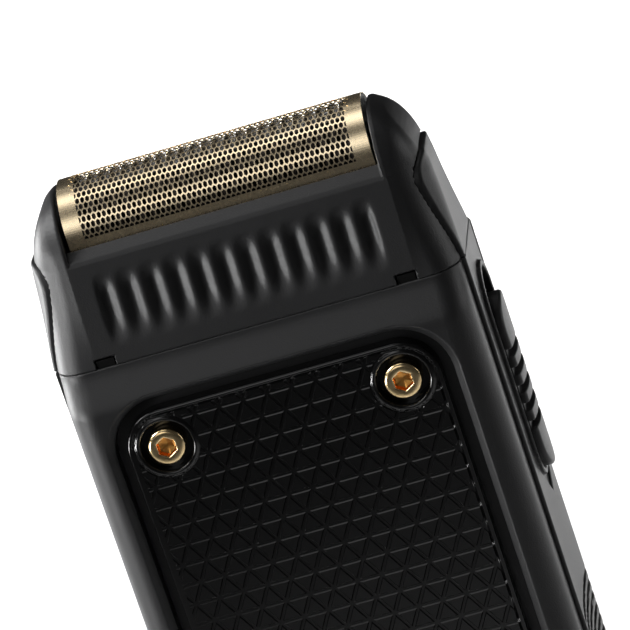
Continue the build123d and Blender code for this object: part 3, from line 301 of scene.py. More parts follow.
# ------------------------------------------------------------------ geometry node trees
class Tree:
    """A Geometry Nodes tree with named inputs, ended by Realize Instances and Set Material."""

    def __init__(self, name, **inputs):
        self.tree = bpy.data.node_groups.new(name, "GeometryNodeTree")
        self.sockets = {}
        face = self.tree.interface
        for label, value in inputs.items():
            kind = "NodeSocketInt" if isinstance(value, int) else "NodeSocketFloat"
            socket = face.new_socket(label, in_out="INPUT", socket_type=kind)
            socket.default_value = value
            self.sockets[label] = (socket.identifier, value)
        face.new_socket("Geometry", in_out="OUTPUT", socket_type="NodeSocketGeometry")
        self.source = self.tree.nodes.new("NodeGroupInput")
        self.sink = self.tree.nodes.new("NodeGroupOutput")

    def __getitem__(self, label):
        return self.source.outputs[label]

    def add(self, kind, *values, out=0, **named):
        """Add a node. Values fill its inputs in order, named ones fill settings or named inputs."""
        node = self.tree.nodes.new(kind)
        given = {}
        for key, value in named.items():
            if key[0].isupper():
                given[key.replace("_", " ")] = value
            else:
                setattr(node, key, value)
        for key, value in list(enumerate(values)) + list(given.items()):
            if value is None:
                continue
            if isinstance(value, bpy.types.NodeSocket):
                self.tree.links.new(value, node.inputs[key])
            else:
                node.inputs[key].default_value = value
        return node.outputs[out] if out is not None else node

    def math(self, operation, *values):
        """A Math node."""
        return self.add("ShaderNodeMath", *values, operation=operation)

    def vector(self, x=0.0, y=0.0, z=0.0):
        """A vector from its three parts."""
        return self.add("ShaderNodeCombineXYZ", x, y, z)

    def merge(self, *parts):
        """Join several geometries."""
        node = self.tree.nodes.new("GeometryNodeJoinGeometry")
        for part in parts:
            self.tree.links.new(part, node.inputs[0])
        return node.outputs[0]

    def make(self, name, geometry, *materials, **sizes):
        """End the tree, run it on an empty object with the given sizes, and keep the plain mesh.

        With several materials, each goes to the faces that have its number.
        """
        painted = self.add("GeometryNodeRealizeInstances", geometry)
        for number, material in enumerate(materials):
            chosen = True
            if len(materials) > 1:
                index = self.add("GeometryNodeInputMaterialIndex")
                same = {"data_type": "INT", "operation": "EQUAL"}
                chosen = self.add("FunctionNodeCompare", None, None, index, number, **same)
            painted = self.add("GeometryNodeSetMaterial", painted, chosen, material)
        self.tree.links.new(painted, self.sink.inputs[0])
        obj = new_object(name, bpy.data.meshes.new(name))
        modifier = obj.modifiers.new("pattern", "NODES")
        modifier.node_group = self.tree
        for label, value in sizes.items():
            identifier, default = self.sockets[label]
            modifier[identifier] = type(default)(value)
        flatten(obj)
        return obj


# ------------------------------------------------------------------ finishes
GRAIN_HEIGHT = 0.00002


def shader_group(name, inputs, outputs):
    """A shader node group with named sockets."""
    tree = bpy.data.node_groups.new(name, "ShaderNodeTree")
    for label, value in inputs.items():
        kind = "NodeSocketColor" if isinstance(value, tuple) else "NodeSocketFloat"
        tree.interface.new_socket(label, in_out="INPUT", socket_type=kind).default_value = value
    for label, kind in outputs.items():
        tree.interface.new_socket(label, in_out="OUTPUT", socket_type=kind)
    return tree, tree.nodes.new("NodeGroupInput"), tree.nodes.new("NodeGroupOutput")


def noise(tree, scale, detail, stretch=None):
    """A Noise Texture on Object coordinates, in metres, with a fixed seed."""
    place = tree.nodes.new("ShaderNodeTexCoord").outputs["Object"]
    if stretch:
        mapping = tree.nodes.new("ShaderNodeMapping")
        mapping.inputs["Scale"].default_value = stretch
        tree.links.new(place, mapping.inputs["Vector"])
        place = mapping.outputs["Vector"]
    node = tree.nodes.new("ShaderNodeTexNoise")
    node.inputs["Detail"].default_value = detail
    tree.links.new(place, node.inputs["Vector"])
    tree.links.new(scale, node.inputs["Scale"])
    return node.outputs["Fac"]


def multiply_add(tree, *values):
    """A Math node that gives the first value times the second plus the third."""
    node = tree.nodes.new("ShaderNodeMath")
    node.operation = "MULTIPLY_ADD"
    for socket, value in zip(node.inputs, values):
        if isinstance(value, bpy.types.NodeSocket):
            tree.links.new(value, socket)
        else:
            socket.default_value = value
    return node.outputs[0]


def surface_group(name, stretch=None):
    """Tone patches, roughness patches and a fine grain, all over Object coordinates."""
    colour, value, vector = "NodeSocketColor", "NodeSocketFloat", "NodeSocketVector"
    tree, source, sink = shader_group(
        name,
        {
            "Colour": (0.5, 0.5, 0.5, 1),
            "Patch Colour": (0.5, 0.5, 0.5, 1),
            "Roughness": 0.4,
            "Roughness Spread": 0.1,
            "Patch Scale": 120.0,
            "Grain Scale": 4000.0,
            "Grain Depth": 0.1,
        },
        {"Colour": colour, "Roughness": value, "Normal": vector},
    )
    links = tree.links
    patches = noise(tree, source.outputs["Patch Scale"], 3.0, stretch)
    grain = noise(tree, source.outputs["Grain Scale"], 2.0, stretch)
    tone = tree.nodes.new("ShaderNodeMix")
    tone.data_type = "RGBA"
    links.new(patches, tone.inputs[0])
    links.new(source.outputs["Colour"], tone.inputs[6])
    links.new(source.outputs["Patch Colour"], tone.inputs[7])
    links.new(tone.outputs[2], sink.inputs["Colour"])
    centred = multiply_add(tree, patches, 0.6, -0.5)
    spread = multiply_add(tree, centred, source.outputs["Roughness Spread"], source.outputs["Roughness"])
    speckle = multiply_add(tree, grain, source.outputs["Roughness Spread"], spread)
    links.new(speckle, sink.inputs["Roughness"])
    bump = tree.nodes.new("ShaderNodeBump")
    bump.inputs["Distance"].default_value = GRAIN_HEIGHT
    links.new(source.outputs["Grain Depth"], bump.inputs["Strength"])
    links.new(grain, bump.inputs["Height"])
    links.new(bump.outputs["Normal"], sink.inputs["Normal"])
    return tree


GROUPS = {}


def finish_material(
    name, colour, patch, roughness, spread, brushed=False, scales=(120, 4000), depth=0.3, **shader
):
    """A material whose tone, roughness and grain come from a shared surface group."""
    key = "Brushed Surface" if brushed else "Moulded Surface"
    if key not in GROUPS:
        GROUPS[key] = surface_group(key, (1.0, 1.0, 0.04) if brushed else None)
    material = bpy.data.materials.new(name)
    material.use_nodes = True
    nodes, links = material.node_tree.nodes, material.node_tree.links
    principled = nodes["Principled BSDF"]
    group = nodes.new("ShaderNodeGroup")
    group.node_tree = GROUPS[key]
    group.inputs["Colour"].default_value = (*colour, 1)
    group.inputs["Patch Colour"].default_value = (*patch, 1)
    group.inputs["Roughness"].default_value = roughness
    group.inputs["Roughness Spread"].default_value = spread
    group.inputs["Patch Scale"].default_value = scales[0]
    group.inputs["Grain Scale"].default_value = scales[1]
    group.inputs["Grain Depth"].default_value = depth
    links.new(group.outputs["Colour"], principled.inputs["Base Color"])
    links.new(group.outputs["Roughness"], principled.inputs["Roughness"])
    links.new(group.outputs["Normal"], principled.inputs["Normal"])
    for label, value in shader.items():
        principled.inputs[label.replace("_", " ")].default_value = value
    return material


MATERIALS = {}


def finish(slot):
    """The finish of a material slot, made when it is first asked for."""
    if slot not in MATERIALS:
        MATERIALS[slot] = FINISHES[slot](bpy.context.scene.shaver_finishes)
    return MATERIALS[slot]


FINISHES = {
    "black_plastic": lambda c: finish_material(
        "satin_black_plastic", c.plastic, [v * 1.35 for v in c.plastic], c.plastic_roughness, 0.1,
        scales=(90, 4600), depth=1.6, Specular_IOR_Level=0.42,
    ),
    # Near-black deck plastic with little specular: painted shade for the dark void seen through the key
    # notches.
    "shadow_plastic": lambda c: finish_material(
        "matt_deck_plastic", (0.002, 0.002, 0.002), (0.003, 0.003, 0.003), 0.8, 0.1, depth=0.5,
        Specular_IOR_Level=0.1,
    ),
    "gloss_plate": lambda c: finish_material(
        "gloss_black_plate", c.plate, [v * 1.6 for v in c.plate], 0.12, 0.05, scales=(60, 2600), depth=0.12,
        Specular_IOR_Level=0.5,
    ),
    "gold_metal": lambda c: finish_material(
        "pale_gold", c.screw_gold, (0.86, 0.62, 0.3), 0.2, 0.08, scales=(500, 5000), depth=0.25, Metallic=1.0,
    ),
    # Darker, deeper gold for the inside of the hex sockets: painted shade in the recess, on the same metal as
    # the screw head.
    "socket_painted_shade": lambda c: finish_material(
        "amber_gold", (0.72, 0.3, 0.06), (0.95, 0.5, 0.14), 0.28, 0.1, scales=(900, 5000), Metallic=1.0,
    ),
    "gold_foil": lambda c: finish_material(
        "gold_foil", c.foil_gold, (0.9, 0.72, 0.46), 0.24, 0.1, scales=(200, 3000), depth=0.1, Metallic=1.0,
    ),
    "frame_plastic": lambda c: finish_material(
        "dark_frame_plastic", (0.012, 0.012, 0.013), (0.02, 0.02, 0.021), 0.5, 0.1, depth=0.5,
    ),
    "steel": lambda c: finish_material(
        "brushed_steel", (0.5, 0.5, 0.52), (0.62, 0.62, 0.63), 0.3, 0.14, brushed=True, scales=(700, 6000),
        Metallic=1.0,
    ),
    # Near-black blade steel: painted shade for the cutter seen through the foil's holes.
    "blade_steel": lambda c: finish_material(
        "dark_blade_steel", (0.035, 0.03, 0.027), (0.06, 0.053, 0.048), 0.42, 0.14, scales=(700, 6000),
        Metallic=1.0,
    ),
    "zinc_screw": lambda c: finish_material(
        "zinc", (0.42, 0.43, 0.45), (0.56, 0.56, 0.58), 0.35, 0.12, scales=(600, 3000), Metallic=1.0,
    ),
    "spring_steel": lambda c: finish_material(
        "spring_steel", (0.46, 0.46, 0.47), (0.6, 0.59, 0.57), 0.28, 0.1, scales=(800, 4000), Metallic=1.0,
    ),
    "brass": lambda c: finish_material(
        "turned_brass", (0.68, 0.48, 0.2), (0.78, 0.58, 0.28), 0.3, 0.12, brushed=True, scales=(500, 5000),
        Metallic=1.0,
    ),
    "rotor_iron": lambda c: finish_material(
        "stacked_iron", (0.16, 0.15, 0.15), (0.26, 0.24, 0.23), 0.45, 0.14, scales=(400, 2500), Metallic=1.0,
    ),
    "cell_wrap": lambda c: finish_material(
        "cell_wrap", (0.02, 0.08, 0.16), (0.03, 0.11, 0.2), 0.32, 0.06, scales=(80, 1200), depth=0.15,
    ),
    "nickel": lambda c: finish_material(
        "nickel_strip", (0.55, 0.53, 0.49), (0.66, 0.64, 0.6), 0.26, 0.1, scales=(500, 4000), Metallic=1.0,
    ),
    "board_green": lambda c: finish_material(
        "circuit_board", (0.01, 0.09, 0.035), (0.016, 0.14, 0.05), 0.36, 0.1, scales=(900, 3500), depth=0.4,
    ),
    "clear_window": lambda c: finish_material(
        "smoked_window", (0.05, 0.05, 0.055), (0.08, 0.08, 0.085), 0.12, 0.05, scales=(200, 2000), depth=0.1,
        Transmission_Weight=0.4,
    ),
}


def dress(obj, slot, body, *nodes):
    """Finish a piece, let it ride on its body and stand for the CAD nodes it replaces."""
    if not obj.data.materials:
        obj.data.materials.append(finish(slot))
    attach(obj, body)
    if nodes:
        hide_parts(*nodes)
    return obj


# ------------------------------------------------------------------ sizes and colours
def length(label, about, value, low=0.01):
    """A size in millimetres."""
    return bpy.props.FloatProperty(name=label, description=about + ", mm", default=value, min=low)


def count_size(label, about, value):
    """A count of repeated features."""
    return bpy.props.IntProperty(name=label, description=about, default=value, min=2)


def factor(label, about, value, high=1.0):
    """A plain factor."""
    return bpy.props.FloatProperty(name=label, description=about, default=value, min=0, max=high)


def tint(label, about, value):
    """A linear colour."""
    return bpy.props.FloatVectorProperty(
        name=label, description=about, default=value, size=3, min=0, max=1, subtype="COLOR"
    )


class ShaverHeadSizes(bpy.types.PropertyGroup):
    """Sizes of the removable head."""

    ear_inner: length("Ear inner face", "Middle plane to the inner face of an ear", 23.7)
    edge: length("Edge", "Rounding of the head's moulded edges", 0.3)
    flute_count: count_size("Flutes", "Scooped flutes on the front", 12)
    flute_pitch: length("Flute pitch", "Flute to flute", 3.6)
    flute_depth: length("Flute depth", "Ridge to valley", 0.75)
    cheek_start: length("Cheek start", "Middle plane to the crease where a cheek begins", 24.3)
    cheek_fall: length("Cheek fall", "How steeply the cheeks fall away from the crease", 0.3)
    button_proud: length("Button proud", "Release button beyond the cheek", 0.6)


class ShaverBodySizes(bpy.types.PropertyGroup):
    """Sizes of the two body shells and the slider."""

    corner: length("Front corner", "Rounding down both sides of the front shell", 4.5)
    rim_chamfer: length("Rim chamfer", "Chamfer inside the rim round the plate", 1.1)
    rear_corner: length("Back corner", "Rounding of the back corners in plan", 9.0)
    groove_pitch: length("Groove pitch", "Side groove to side groove", 1.9)
    groove_radius: length("Groove radius", "Radius of a side groove", 0.42)
    groove_count: count_size("Side grooves", "Grooves on each side", 24)
    rib_pitch: length("Slider rib pitch", "Slider rib to slider rib", 2.9)
    rib_gap: length("Slider rib gap", "Gap between two slider ribs", 1.15)


class ShaverPatternSizes(bpy.types.PropertyGroup):
    """Sizes of the foil's holes, the plate's tiles and the springs."""

    hole_pitch: length("Hole pitch", "Foil hole to foil hole along a row", 0.772)
    hole_stretch: factor("Hole stretch", "Length of a foil hole round the foil over that along it", 1.45, 3.0)
    bar: length("Bar", "Metal left between two foil holes", 0.18)
    foil_wall: length("Foil wall", "Thickness of the foil's sheet", 0.08)
    plain_end: length("Plain end", "Plain strip at each end of the foil", 1.8)
    tile_side: length("Tile side", "Side of the plate's triangle lattice", 3.675)
    tile_groove: length("Tile groove", "Groove between two tiles at the bottom", 0.26)
    tile_bevel: length("Tile bevel", "Width of a tile's bevelled edge", 0.21)
    tile_rise: length("Tile rise", "Height of a tile above the plate", 0.17)
    plate_border: length("Plate border", "Plain border round the tiles", 0.75)


class ShaverFinishes(bpy.types.PropertyGroup):
    """Colours of the finishes."""

    plastic: tint("Plastic", "Satin black plastic", (0.0085, 0.0085, 0.009))
    plastic_roughness: factor("Plastic roughness", "Roughness of the black plastic", 0.42)
    plate: tint("Plate", "Gloss black plate", (0.0025, 0.0025, 0.0026))
    screw_gold: tint("Screw gold", "Pale gold of the plate screws", (0.93, 0.74, 0.44))
    foil_gold: tint("Foil gold", "Pale gold of the foil", (0.95, 0.8, 0.56))


GROUP_CLASSES = {
    "shaver_head": ShaverHeadSizes,
    "shaver_body": ShaverBodySizes,
    "shaver_pattern": ShaverPatternSizes,
    "shaver_finishes": ShaverFinishes,
}


# ------------------------------------------------------------------ head and release buttons
HEAD_HEIGHT = float(HEAD_HIGH[2]) - SEAM
BAND_BOTTOM = 15.4
BAND_FRONT = 9.6
BAND_TOP = 17.0
LEAN = (SEAM_FRONT - BAND_FRONT) / BAND_BOTTOM
LEAN_SHARE = 0.986
EAR_SIDE = [(31.31, -6.0), (29.9, 12.5)] + arc_points((29.9, 12.5), (28.6, 18.8), (24.7, HEAD_HEIGHT), 16)[1:]
EAR_OUTLINE = EAR_SIDE + [(-x, s) for x, s in reversed(EAR_SIDE)]
FACE_FOOT = (SEAM_FRONT + 6 * LEAN, -6.0)
HEAD_PROFILE = [(-FACE_FOOT[0], FACE_FOOT[1])]
HEAD_PROFILE += arc_points((-BAND_FRONT, BAND_BOTTOM), (0, HEAD_HEIGHT), (BAND_FRONT, BAND_BOTTOM), 40)
HEAD_PROFILE += [FACE_FOOT]
BUTTON_LOW, BUTTON_HIGH = node_box("release_button_right")
BUTTON_TOP = float(BUTTON_HIGH[2]) - SEAM
BUTTON_HALF = float(BUTTON_HIGH[1])
STEM_LEVEL = 6.3
FLUTE_BOTTOM, FLUTE_TOP = 2.2, 13.6
CUTTER_ROOM = (7.8, 5.0)  # half depth, and how far above the seam it starts
HEAD_ROOM = (26.35, 11.8)  # half width and top of the hollow under the band
HEAD_WALL = 1.9
NOTCH = (21.3, 24.4)  # inner and outer side of a key notch
NOTCH_TOP = 1.4
POCKET_DEPTH = 2.2
STEM_WINDOW = (2.2, 1.1)
STEM = (2.0, 0.9)


def button_shape(y, s, margin):
    """Side outline of a release button, arched at its top."""
    return rounded_rectangle(y, s - BUTTON_TOP + 12, BUTTON_HALF + margin, 12 + margin, 4.5)


def head_skin(sizes, x, y, s):
    """The head's faces, cheeks and rounded sides, without openings."""
    wide = np.abs(x)
    fall = sizes.cheek_fall * ease((s + 3) / 14)
    cheek = outline(y, s, HEAD_PROFILE) + np.maximum(wide - sizes.cheek_start, 0) * fall
    return cheek, outline(x, s, EAR_OUTLINE), 4.5 - 3.2 * ease((s - 14) / 9)


def head_field(sizes):
    """The head: leaning faces, ears, band, flutes, hollow, notches and button pockets."""
    turn = 2 * math.pi / sizes.flute_pitch
    phase = 0 if sizes.flute_count % 2 else math.pi
    reach = sizes.flute_count * sizes.flute_pitch / 2

    def field(x, y, z):
        s = z - SEAM
        wide = np.abs(x)
        cheek, side, corner = head_skin(sizes, x, y, s)
        scoop = (0.5 + 0.5 * np.cos(x * turn + phase)) * ease((reach + 0.2 - wide) / 1.4)
        scoop = scoop * ease((s - FLUTE_BOTTOM) / 5.0) * ease((FLUTE_TOP - s) / 3.6) * (y < 0)
        solid = meet(cheek + sizes.flute_depth * scoop, side, corner)
        solid = meet(solid, -s, 0.2)
        roof = np.maximum(s - BAND_TOP, (np.abs(y) - BAND_FRONT + s - BAND_BOTTOM) * 0.7071)
        solid = cut(solid, np.maximum(-roof, wide - sizes.ear_inner), sizes.edge)
        cutter_room = every(wide - sizes.ear_inner, np.abs(y) - CUTTER_ROOM[0], CUTTER_ROOM[1] - s)
        solid = cut(solid, cutter_room, 0.15)
        inner_face = (np.abs(y) - SEAM_FRONT + HEAD_WALL + LEAN * s) * LEAN_SHARE
        room = every(wide - HEAD_ROOM[0], inner_face, s - HEAD_ROOM[1])
        solid = cut(solid, room, 0.15)
        notch = every(between(wide, *NOTCH), s - NOTCH_TOP, y + 8)
        solid = cut(solid, notch, 0.06)
        pocket = np.maximum(button_shape(y, s, 0.15), -meet(cheek, side, corner) - POCKET_DEPTH)
        solid = cut(solid, np.maximum(pocket, 26 - wide), 0.12)
        window = every(np.abs(y) - STEM_WINDOW[0], np.abs(s - STEM_LEVEL) - STEM_WINDOW[1], 25 - wide)
        return cut(solid, window, 0.05)

    return field


def button_field(sizes, side):
    """A release button: an arched panel that follows the cheek, and its stem."""

    def field(x, y, z):
        s = z - SEAM
        skin = meet(*head_skin(sizes, x, y, s))
        panel = meet(button_shape(y, s, 0), skin - sizes.button_proud, 0.35)
        panel = meet(panel, -skin - 1.2, 0.1)
        panel = meet(panel, 0.15 - s, 0.12)
        end = float(BUTTON_LOW[0]) - x * side
        stem = every(np.abs(y) - STEM[0], np.abs(s - STEM_LEVEL) - STEM[1], skin + 1.0, end)
        return np.maximum(join(panel, stem, 0.1), end)

    return field


class SHAVER_OT_head(bpy.types.Operator):
    """Make the moulded head housing"""

    bl_idname = "shaver.head"
    bl_label = "Head housing"

    def execute(self, context):
        obj = moulded("head", head_field(context.scene.shaver_head), HEAD_LOW, HEAD_HIGH, 0.27, 150000)
        dress(obj, "black_plastic", "head", "head_housing")
        return {"FINISHED"}


class SHAVER_OT_buttons(bpy.types.Operator):
    """Make the two release buttons"""

    bl_idname = "shaver.buttons"
    bl_label = "Release buttons"

    def execute(self, context):
        for name, side in (("right", 1), ("left", -1)):
            low, high = node_box(f"release_button_{name}")
            field = button_field(context.scene.shaver_head, side)
            obj = moulded(f"release_button_{name}_panel", field, low - 0.5, high + 0.5, 0.22, 40000)
            dress(obj, "black_plastic", f"button_{name}", f"release_button_{name}")
        return {"FINISHED"}


# ------------------------------------------------------------------ body shells
INNER_FRONT = 10.6
SHELL_WALL = 2
REAR_PROUD, REAR_BULGE = 0.65, 0.6
POST_RADIUS = 2.8
PLATE_SCREW_HOLE, CASE_SCREW_HOLE, END_SCREW_HOLE = 1.5, 1.0, 1.0
END_POST = (22.5, 6.5)  # posts of the deck's and base's screws
PLATE_SEAT = -float(PLATE_HIGH[1])
RECESS = (PLATE_HALF[0] + 1.8, PLATE_HALF[1] + 1.8, 7.8)
CASE_SPOTS = [(x, z) for x in (16, -16) for z in (38, 92)]
SWITCH_Y = 1.5
SLIDER_MIDDLE = float(SLIDER_LOW[2] + SLIDER_HIGH[2]) / 2
SLOT = (103.0, 16.2, 4.9)  # middle, half length and half width
DISH_FLOOR, RIM_TOP, SLOT_FLOOR = 31.4, 32.0, 30.7
KNOB_LEVEL = 100.7
SLIDER_PAD = (14, 4.7)  # half length and half width
SLIDER_TOP, SLIDER_CROWN = 33.5, 0.022


def front_shell_field(sizes):
    """The front shell: crowned front, rounded sides, and the recess for the plate."""

    def field(x, y, z):
        wide = np.abs(x)
        crown = SEAM_FRONT + (RIM_FRONT - SEAM_FRONT) * ease((SEAM - z) / 6.6) * ease((z - BASE_TOP) / 8)
        solid = meet(-y - crown, wide - HALF_WIDTH, sizes.corner)
        solid = meet(solid, y - SPLIT, 0.15)
        solid = meet(solid, z - SEAM, 0.22)
        solid = meet(solid, BASE_TOP - z, 0.15)
        solid = cut(solid, meet(wide - HALF_WIDTH + SHELL_WALL, -y - INNER_FRONT, 2), 0)
        flare = np.clip(-y - RIM_FRONT + sizes.rim_chamfer, 0, 3)
        recess = rounded_rectangle(x, z - PLATE_MIDDLE, *RECESS) - flare
        solid = cut(solid, np.maximum(recess, y + PLATE_SEAT), 0.14)
        for centre_x, centre_z in SCREW_SPOTS:
            solid = cut(solid, np.hypot(x - centre_x, z - centre_z) - 4.8, 0.05)
        for centre_x, centre_z in CASE_SPOTS:
            far = np.hypot(x - centre_x, z - centre_z)
            solid = cut(solid, far - 1.1)
            solid = cut(solid, np.maximum(far - 1.9, y + PLATE_SEAT - 1.2))
        return solid

    return field


def rear_shell_field(sizes):
    """The rear shell: rounded back, posts, switch dish and slot, and the side grooves."""
    slot_middle, slot_half, slot_width = SLOT
    dish = [(-6.0, 131), (-6.0, 90.4), (1.5, 82.9), (9.0, 90.4), (9.0, 131)]
    first = SEAM - 57.5  # level of the top groove's middle

    def field(x, y, z):
        wide = np.abs(x)
        skin = wide - (HALF_WIDTH + REAR_PROUD + REAR_BULGE * ease((y + 8) / 15))
        back = SEAM_FRONT + (BACK - SEAM_FRONT) * ease((z - BASE_TOP) / 13) * ease((SEAM - z) / 13)
        plan = meet(skin, y - BACK, sizes.rear_corner)
        outer = meet(plan, y - back, 2.5)
        inner = meet(skin + SHELL_WALL, y - BACK + SHELL_WALL, sizes.rear_corner - SHELL_WALL)
        room = np.maximum(inner, y - back + SHELL_WALL)
        solid = np.maximum(outer, -room)
        for centre_x, centre_z in SCREW_SPOTS + CASE_SPOTS:
            far = np.hypot(x - centre_x, z - centre_z)
            solid = join(solid, np.maximum(far - POST_RADIUS, outer), 0.2)
            hole = PLATE_SCREW_HOLE if (centre_x, centre_z) in SCREW_SPOTS else CASE_SCREW_HOLE
            solid = cut(solid, np.maximum(far - hole, y + 3))
        for low, high in ((SEAM - 11.5, SEAM - 3), (BASE_TOP + 4, BASE_TOP + 12.5)):
            for centre in (END_POST[0], -END_POST[0]):
                far = np.hypot(x - centre, y - END_POST[1])
                web = np.maximum(np.abs(x - centre) - POST_RADIUS / 2, END_POST[1] - y)
                post = every(np.minimum(far - POST_RADIUS, web), between(z, low, high), outer)
                solid = join(solid, post, 0.1)
                solid = cut(solid, np.maximum(far - END_SCREW_HOLE, between(z, low - 1, high + 1)))
        solid = meet(solid, SPLIT - y, 0.15)
        solid = meet(solid, z - SEAM, 0.2)
        solid = meet(solid, BASE_TOP - z, 0.15)
        solid = cut(solid, np.maximum(outline(y, z, dish), DISH_FLOOR - x), 0.3)
        rim = stadium(y - SWITCH_Y, z - slot_middle, slot_half + 0.9, slot_width + 0.9)
        solid = join(solid, every(rim, x - RIM_TOP, 30.2 - x), 0.12)
        slot = stadium(y - SWITCH_Y, z - slot_middle, slot_half, slot_width)
        solid = cut(solid, np.maximum(slot, SLOT_FLOOR - x), 0.12)
        window = np.maximum(np.abs(y - SWITCH_Y) - 1.7, np.abs(z - KNOB_LEVEL - 2) - 4.7)
        solid = cut(solid, np.maximum(window, 27 - x))
        level = z - first + 0.02 * np.minimum(y - 4, 0) ** 2
        turn = np.clip(np.round(level / sizes.groove_pitch), 1 - sizes.groove_count, 0)
        ends = np.maximum(np.abs(y - 1.5) - 8.1, 0)
        off = level - turn * sizes.groove_pitch
        groove = np.sqrt(off**2 + skin**2 + ends**2) - sizes.groove_radius
        return cut(solid, groove, 0.08)

    return field


def slider_field(sizes):
    """The thumb slider: two pads, four ribs between them, and the stem to the switch."""

    def field(x, y, z):
        across = y - SWITCH_Y
        along = z - SLIDER_MIDDLE
        top = SLIDER_TOP - SLIDER_CROWN * across**2
        pad = meet(stadium(across, along, *SLIDER_PAD), (x - top) * 0.98, 0.55)
        step = np.clip(np.round(along / sizes.rib_pitch), -2, 2) * sizes.rib_pitch
        gap = np.maximum(np.abs(along - step) - sizes.rib_gap / 2, 32.2 - x)
        pad = cut(pad, gap, 0.22)
        pad = np.maximum(pad, 30.9 - x)
        inner = float(SLIDER_LOW[0])
        stem = every(np.abs(across) - 1.5, np.abs(z - KNOB_LEVEL) - 2.5, between(x, inner, 31.5))
        solid = join(pad, stem, 0.1)
        knob = every(np.abs(across) - 0.9, np.abs(z - KNOB_LEVEL) - 1.5, x - inner - 1.6)
        return cut(solid, knob)

    return field


class SHAVER_OT_shells(bpy.types.Operator):
    """Make the front and rear shells of the body"""

    bl_idname = "shaver.shells"
    bl_label = "Body shells"

    def execute(self, context):
        sizes = context.scene.shaver_body
        obj = moulded("front_shell_moulded", front_shell_field(sizes), SHELL_LOW, SHELL_HIGH, 0.3, 150000)
        dress(obj, "black_plastic", "body", "front_shell")
        obj = moulded("rear_shell_moulded", rear_shell_field(sizes), REAR_LOW, REAR_HIGH, 0.36, 180000)
        dress(obj, "black_plastic", "body", "rear_shell")
        return {"FINISHED"}


class SHAVER_OT_slider(bpy.types.Operator):
    """Make the thumb slider of the power switch"""

    bl_idname = "shaver.slider"
    bl_label = "Power slider"

    def execute(self, context):
        field = slider_field(context.scene.shaver_body)
        obj = moulded("thumb_slider", field, SLIDER_LOW - 0.4, SLIDER_HIGH + 0.4, 0.18, 60000)
        dress(obj, "black_plastic", "switch", "power_slider")
        return {"FINISHED"}


